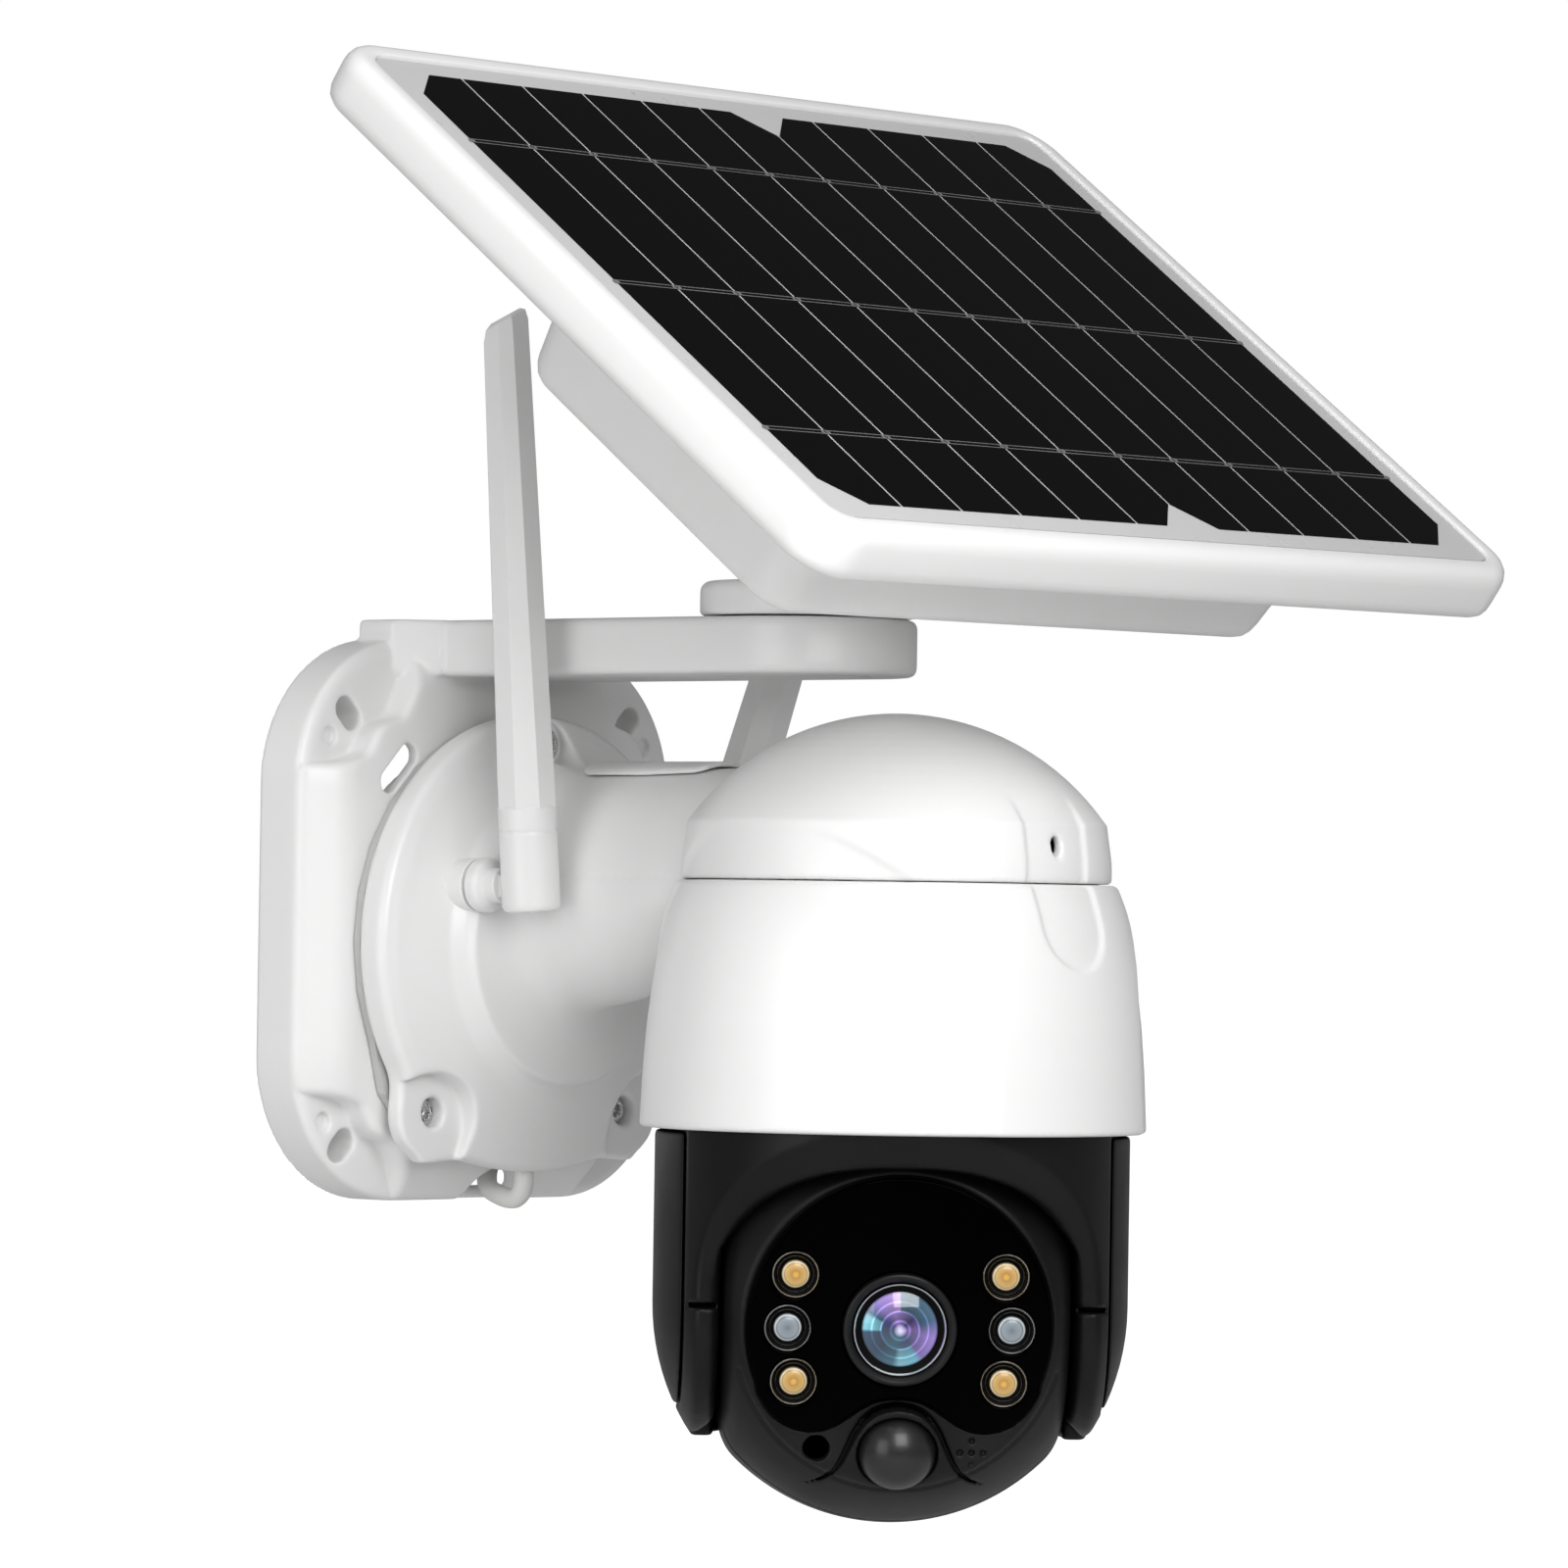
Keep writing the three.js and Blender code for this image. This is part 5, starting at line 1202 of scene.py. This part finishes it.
def make_lens():
    funnel = [(9.6, FACE - 1.1), (11.6, FACE - 1.1), (11.6, FACE + 1.6), (11.45, FACE + 2.0),
              (11.1, FACE + 2.25), (10.7, FACE + 2.25), (10.2, FACE + 1.9), (9.8, FACE + 1.2),
              (9.6, FACE + 0.4)]
    turned_piece("lens_funnel", funnel, FACE_PLACE, BEZEL, "black_shell", "lens_bezel", ring=True)
    ring = [(9.05, FACE - 0.1), (9.5, FACE - 0.1), (9.5, FACE + 1.1), (9.4, FACE + 1.3), (9.2, FACE + 1.3),
            (9.05, FACE + 1.1)]
    turned_piece("lens_front_ring", ring, FACE_PLACE, BRIGHT_RING, "steel", "lens_ring", ring=True)
    stop = [(7.75, FACE - 0.1), (9.0, FACE - 0.1), (9.0, FACE + 1.0), (8.5, FACE + 0.7), (8.0, FACE + 0.6),
            (7.75, FACE + 0.5)]
    turned_piece("lens_black_annulus", stop, FACE_PLACE, MATT, "black_shell", ring=True)
    barrel = [(0, 14), (8.2, 14), (8.2, 30), (9.2, 30), (9.2, FACE - 0.4), (7.9, FACE - 0.4),
              (7.4, FACE - 0.3), (6.6, FACE - 0.9), (6.5, FACE - 1.5), (5.4, FACE - 1.7), (5.3, FACE - 2.3),
              (4.3, FACE - 2.5), (4.2, FACE - 3.1), (0, FACE - 3.3)]
    turned_piece("lens_body", barrel, FACE_PLACE, BLACK_SATIN_PAINTED_LIGHTER, "black_shell", "lens_barrel")
    curve = arc(0, FACE - 15.4, 17.6, 64, 90, 14)
    glass = [(0, FACE - 0.25), (7.72, FACE - 0.25), *[(r, h) for r, h in curve if r > 1e-3], (0, FACE + 2.2)]
    turned_piece("lens_front_element", glass, FACE_PLACE, LENS_PAINTED_REFLECTIONS, "lens_glass", "lens_glass", sharp=50)


def make_lamps():
    for i, (x, z) in enumerate(LAMPS):
        place = FACE_PLACE @ shift(x, z, 0)
        cold = i in INFRARED
        slot = "infrared_lamp" if cold else "warm_lamp"
        bowl = [(0, FACE - 7), (3.5, FACE - 7), (3.5, FACE - 1.2), (4.72, FACE - 1.2), (4.72, FACE + 0.2),
                (4.4, FACE + 0.1), (3.9, FACE - 0.3), (3.3, FACE - 0.6), (2.9, FACE - 0.7), (0, FACE - 0.7)]
        turned_piece(f"lamp_cup_{i + 1}", bowl, place, MATT, slot, f"lamp_{i + 1}")
        rim = [(4.5, FACE + 0.15), (4.75, FACE + 0.15), (4.75, FACE + 0.6), (4.62, FACE + 0.75),
               (4.5, FACE + 0.6)]
        turned_piece(f"lamp_rim_{i + 1}", rim, place, LAMP_CUP, slot, ring=True)
        inner = [(3.62, FACE - 0.5), (3.8, FACE - 0.4), (3.8, FACE - 0.05), (3.7, FACE + 0.05),
                 (3.62, FACE - 0.05)]
        turned_piece(f"lamp_step_{i + 1}", inner, place, LAMP_STEP, slot, ring=True)
        chip = [(0, FACE - 0.65), (2.85, FACE - 0.65), (2.85, FACE - 0.1), (2.7, FACE + 0.15),
                (2.3, FACE + 0.4), (1.6, FACE + 0.62), (0.8, FACE + 0.74), (0, FACE + 0.78)]
        turned_piece(f"lamp_chip_{i + 1}", chip, place, COLD_CHIP_PAINTED_HIGHLIGHTS if cold else WARM_CHIP_PAINTED_HIGHLIGHTS, slot, sharp=60)


def make_motion_sensor():
    place = TILT_PLACE @ shift(0, PIR["y"], PIR["z"]) @ turn(PIR["lean"], "X") @ FORWARD
    radius = PIR["radius"]
    dome = [(0, -3), (radius - 0.4, -3), (radius, -2.6), (radius, 0.4), *arc(0, 0.4, radius, 4, 87, 20),
            (0, radius + 0.4)]
    turned_piece("motion_dome", dome, place, PIR_DOME, "sensor_dome", "pir_dome", sharp=50)
    collar = [(radius + 0.05, 0.2), (8.7, 0.2), (8.6, 0.7), (8.4, 0.9), (radius + 0.08, 1.0)]
    turned_piece("motion_collar", collar, place, BLACK_SATIN_PAINTED_LIGHTER, "black_shell", "pir_trim", ring=True, sharp=60)


# ---------- the solar lead ----------
LEAD_RADIUS = 2.2
LEAD_ROUTE = [(0, -104, 72), (0, -104, 66), (0, -103.7, 60.5), (0, -101, 56.8), (0, -94.5, 55.7),
              (0, -74.5, 55.7), (0, -50, 55.7), (0, -24, 55.7), (0.5, -14, 55.6), (3, -9.5, 52),
              (9, -8.5, 45), (16.5, -9, 32), (20, -10, 16), (20.5, -10.5, 0), (20.5, -10, -14),
              (18, -9, -30), (13, -8, -44), (6, -8.5, -54), (1.5, -12, -59.2), (0, -17, -61.2),
              (0, -21.5, -61.8), (0, -23.9, -59.5), (0, -24.1, -54), (0, -24, -42), (0, -24, -26),
              (0, -24.2, -15), (0, -27.5, -9), (0, -38, -4), (0, -54.5, 3), (0, -79.5, 9.5), (0, -92.5, 13)]


def smooth_path(points, steps):
    """Points on a Catmull-Rom curve through the given ones."""
    padded = [points[0], *points, points[-1]]
    path = []
    for a, b, c, d in zip(padded, padded[1:], padded[2:], padded[3:]):
        a, b, c, d = (np.array(p, float) for p in (a, b, c, d))
        for i in range(steps):
            t = i / steps
            bend = (2 * a - 5 * b + 4 * c - d) * t * t + (3 * b - a - 3 * c + d) * t ** 3
            path.append(0.5 * (2 * b + (c - a) * t + bend))
    return [*path, np.array(points[-1], float)]


def make_lead():
    curve = bpy.data.curves.new("solar_lead", "CURVE")
    curve.dimensions = "3D"
    curve.bevel_depth = LEAD_RADIUS * MM
    curve.bevel_resolution = 5
    curve.use_fill_caps = True
    path = smooth_path(LEAD_ROUTE, 6)
    line = curve.splines.new("POLY")
    line.points.add(len(path) - 1)
    for point, place in zip(line.points, path):
        point.co = (*(place * MM), 1)
    lead = bpy.data.objects.new("solar_lead", curve)
    bpy.context.scene.collection.objects.link(lead)
    fit(lead, "bracket", SHEATH, "lead", "power_lead")


# ---------- everything ----------
make_camera()
make_stage()
make_wall_bracket()
make_swivel()
make_screws()
make_panel()
make_cells()
make_head_skirt()
make_camera_base()
make_antennas()
make_yoke()
make_ball()
make_window()
make_lens()
make_lamps()
make_motion_sensor()
make_lead()

FINISHES = {"white_shell": WHITE, "black_shell": BLACK, "window": GLOSS, "steel": STEEL, "gasket": RUBBER,
            "panel_glass": GLOSS, "cells": GLOSS, "board": BOARD, "nylon": WHITE_NYLON, "lens_glass": GLOSS,
            "warm_lamp": WHITE_NYLON, "infrared_lamp": WHITE_NYLON, "motor": MOTOR_CAN,
            "sensor_dome": BLACK_SATIN_PAINTED_LIGHTER, "lead": SHEATH, "battery_wrap": WRAP}
for row in frame["record"]["subparts"]:
    paint(row["node"], FINISHES[row["material_slot"]])
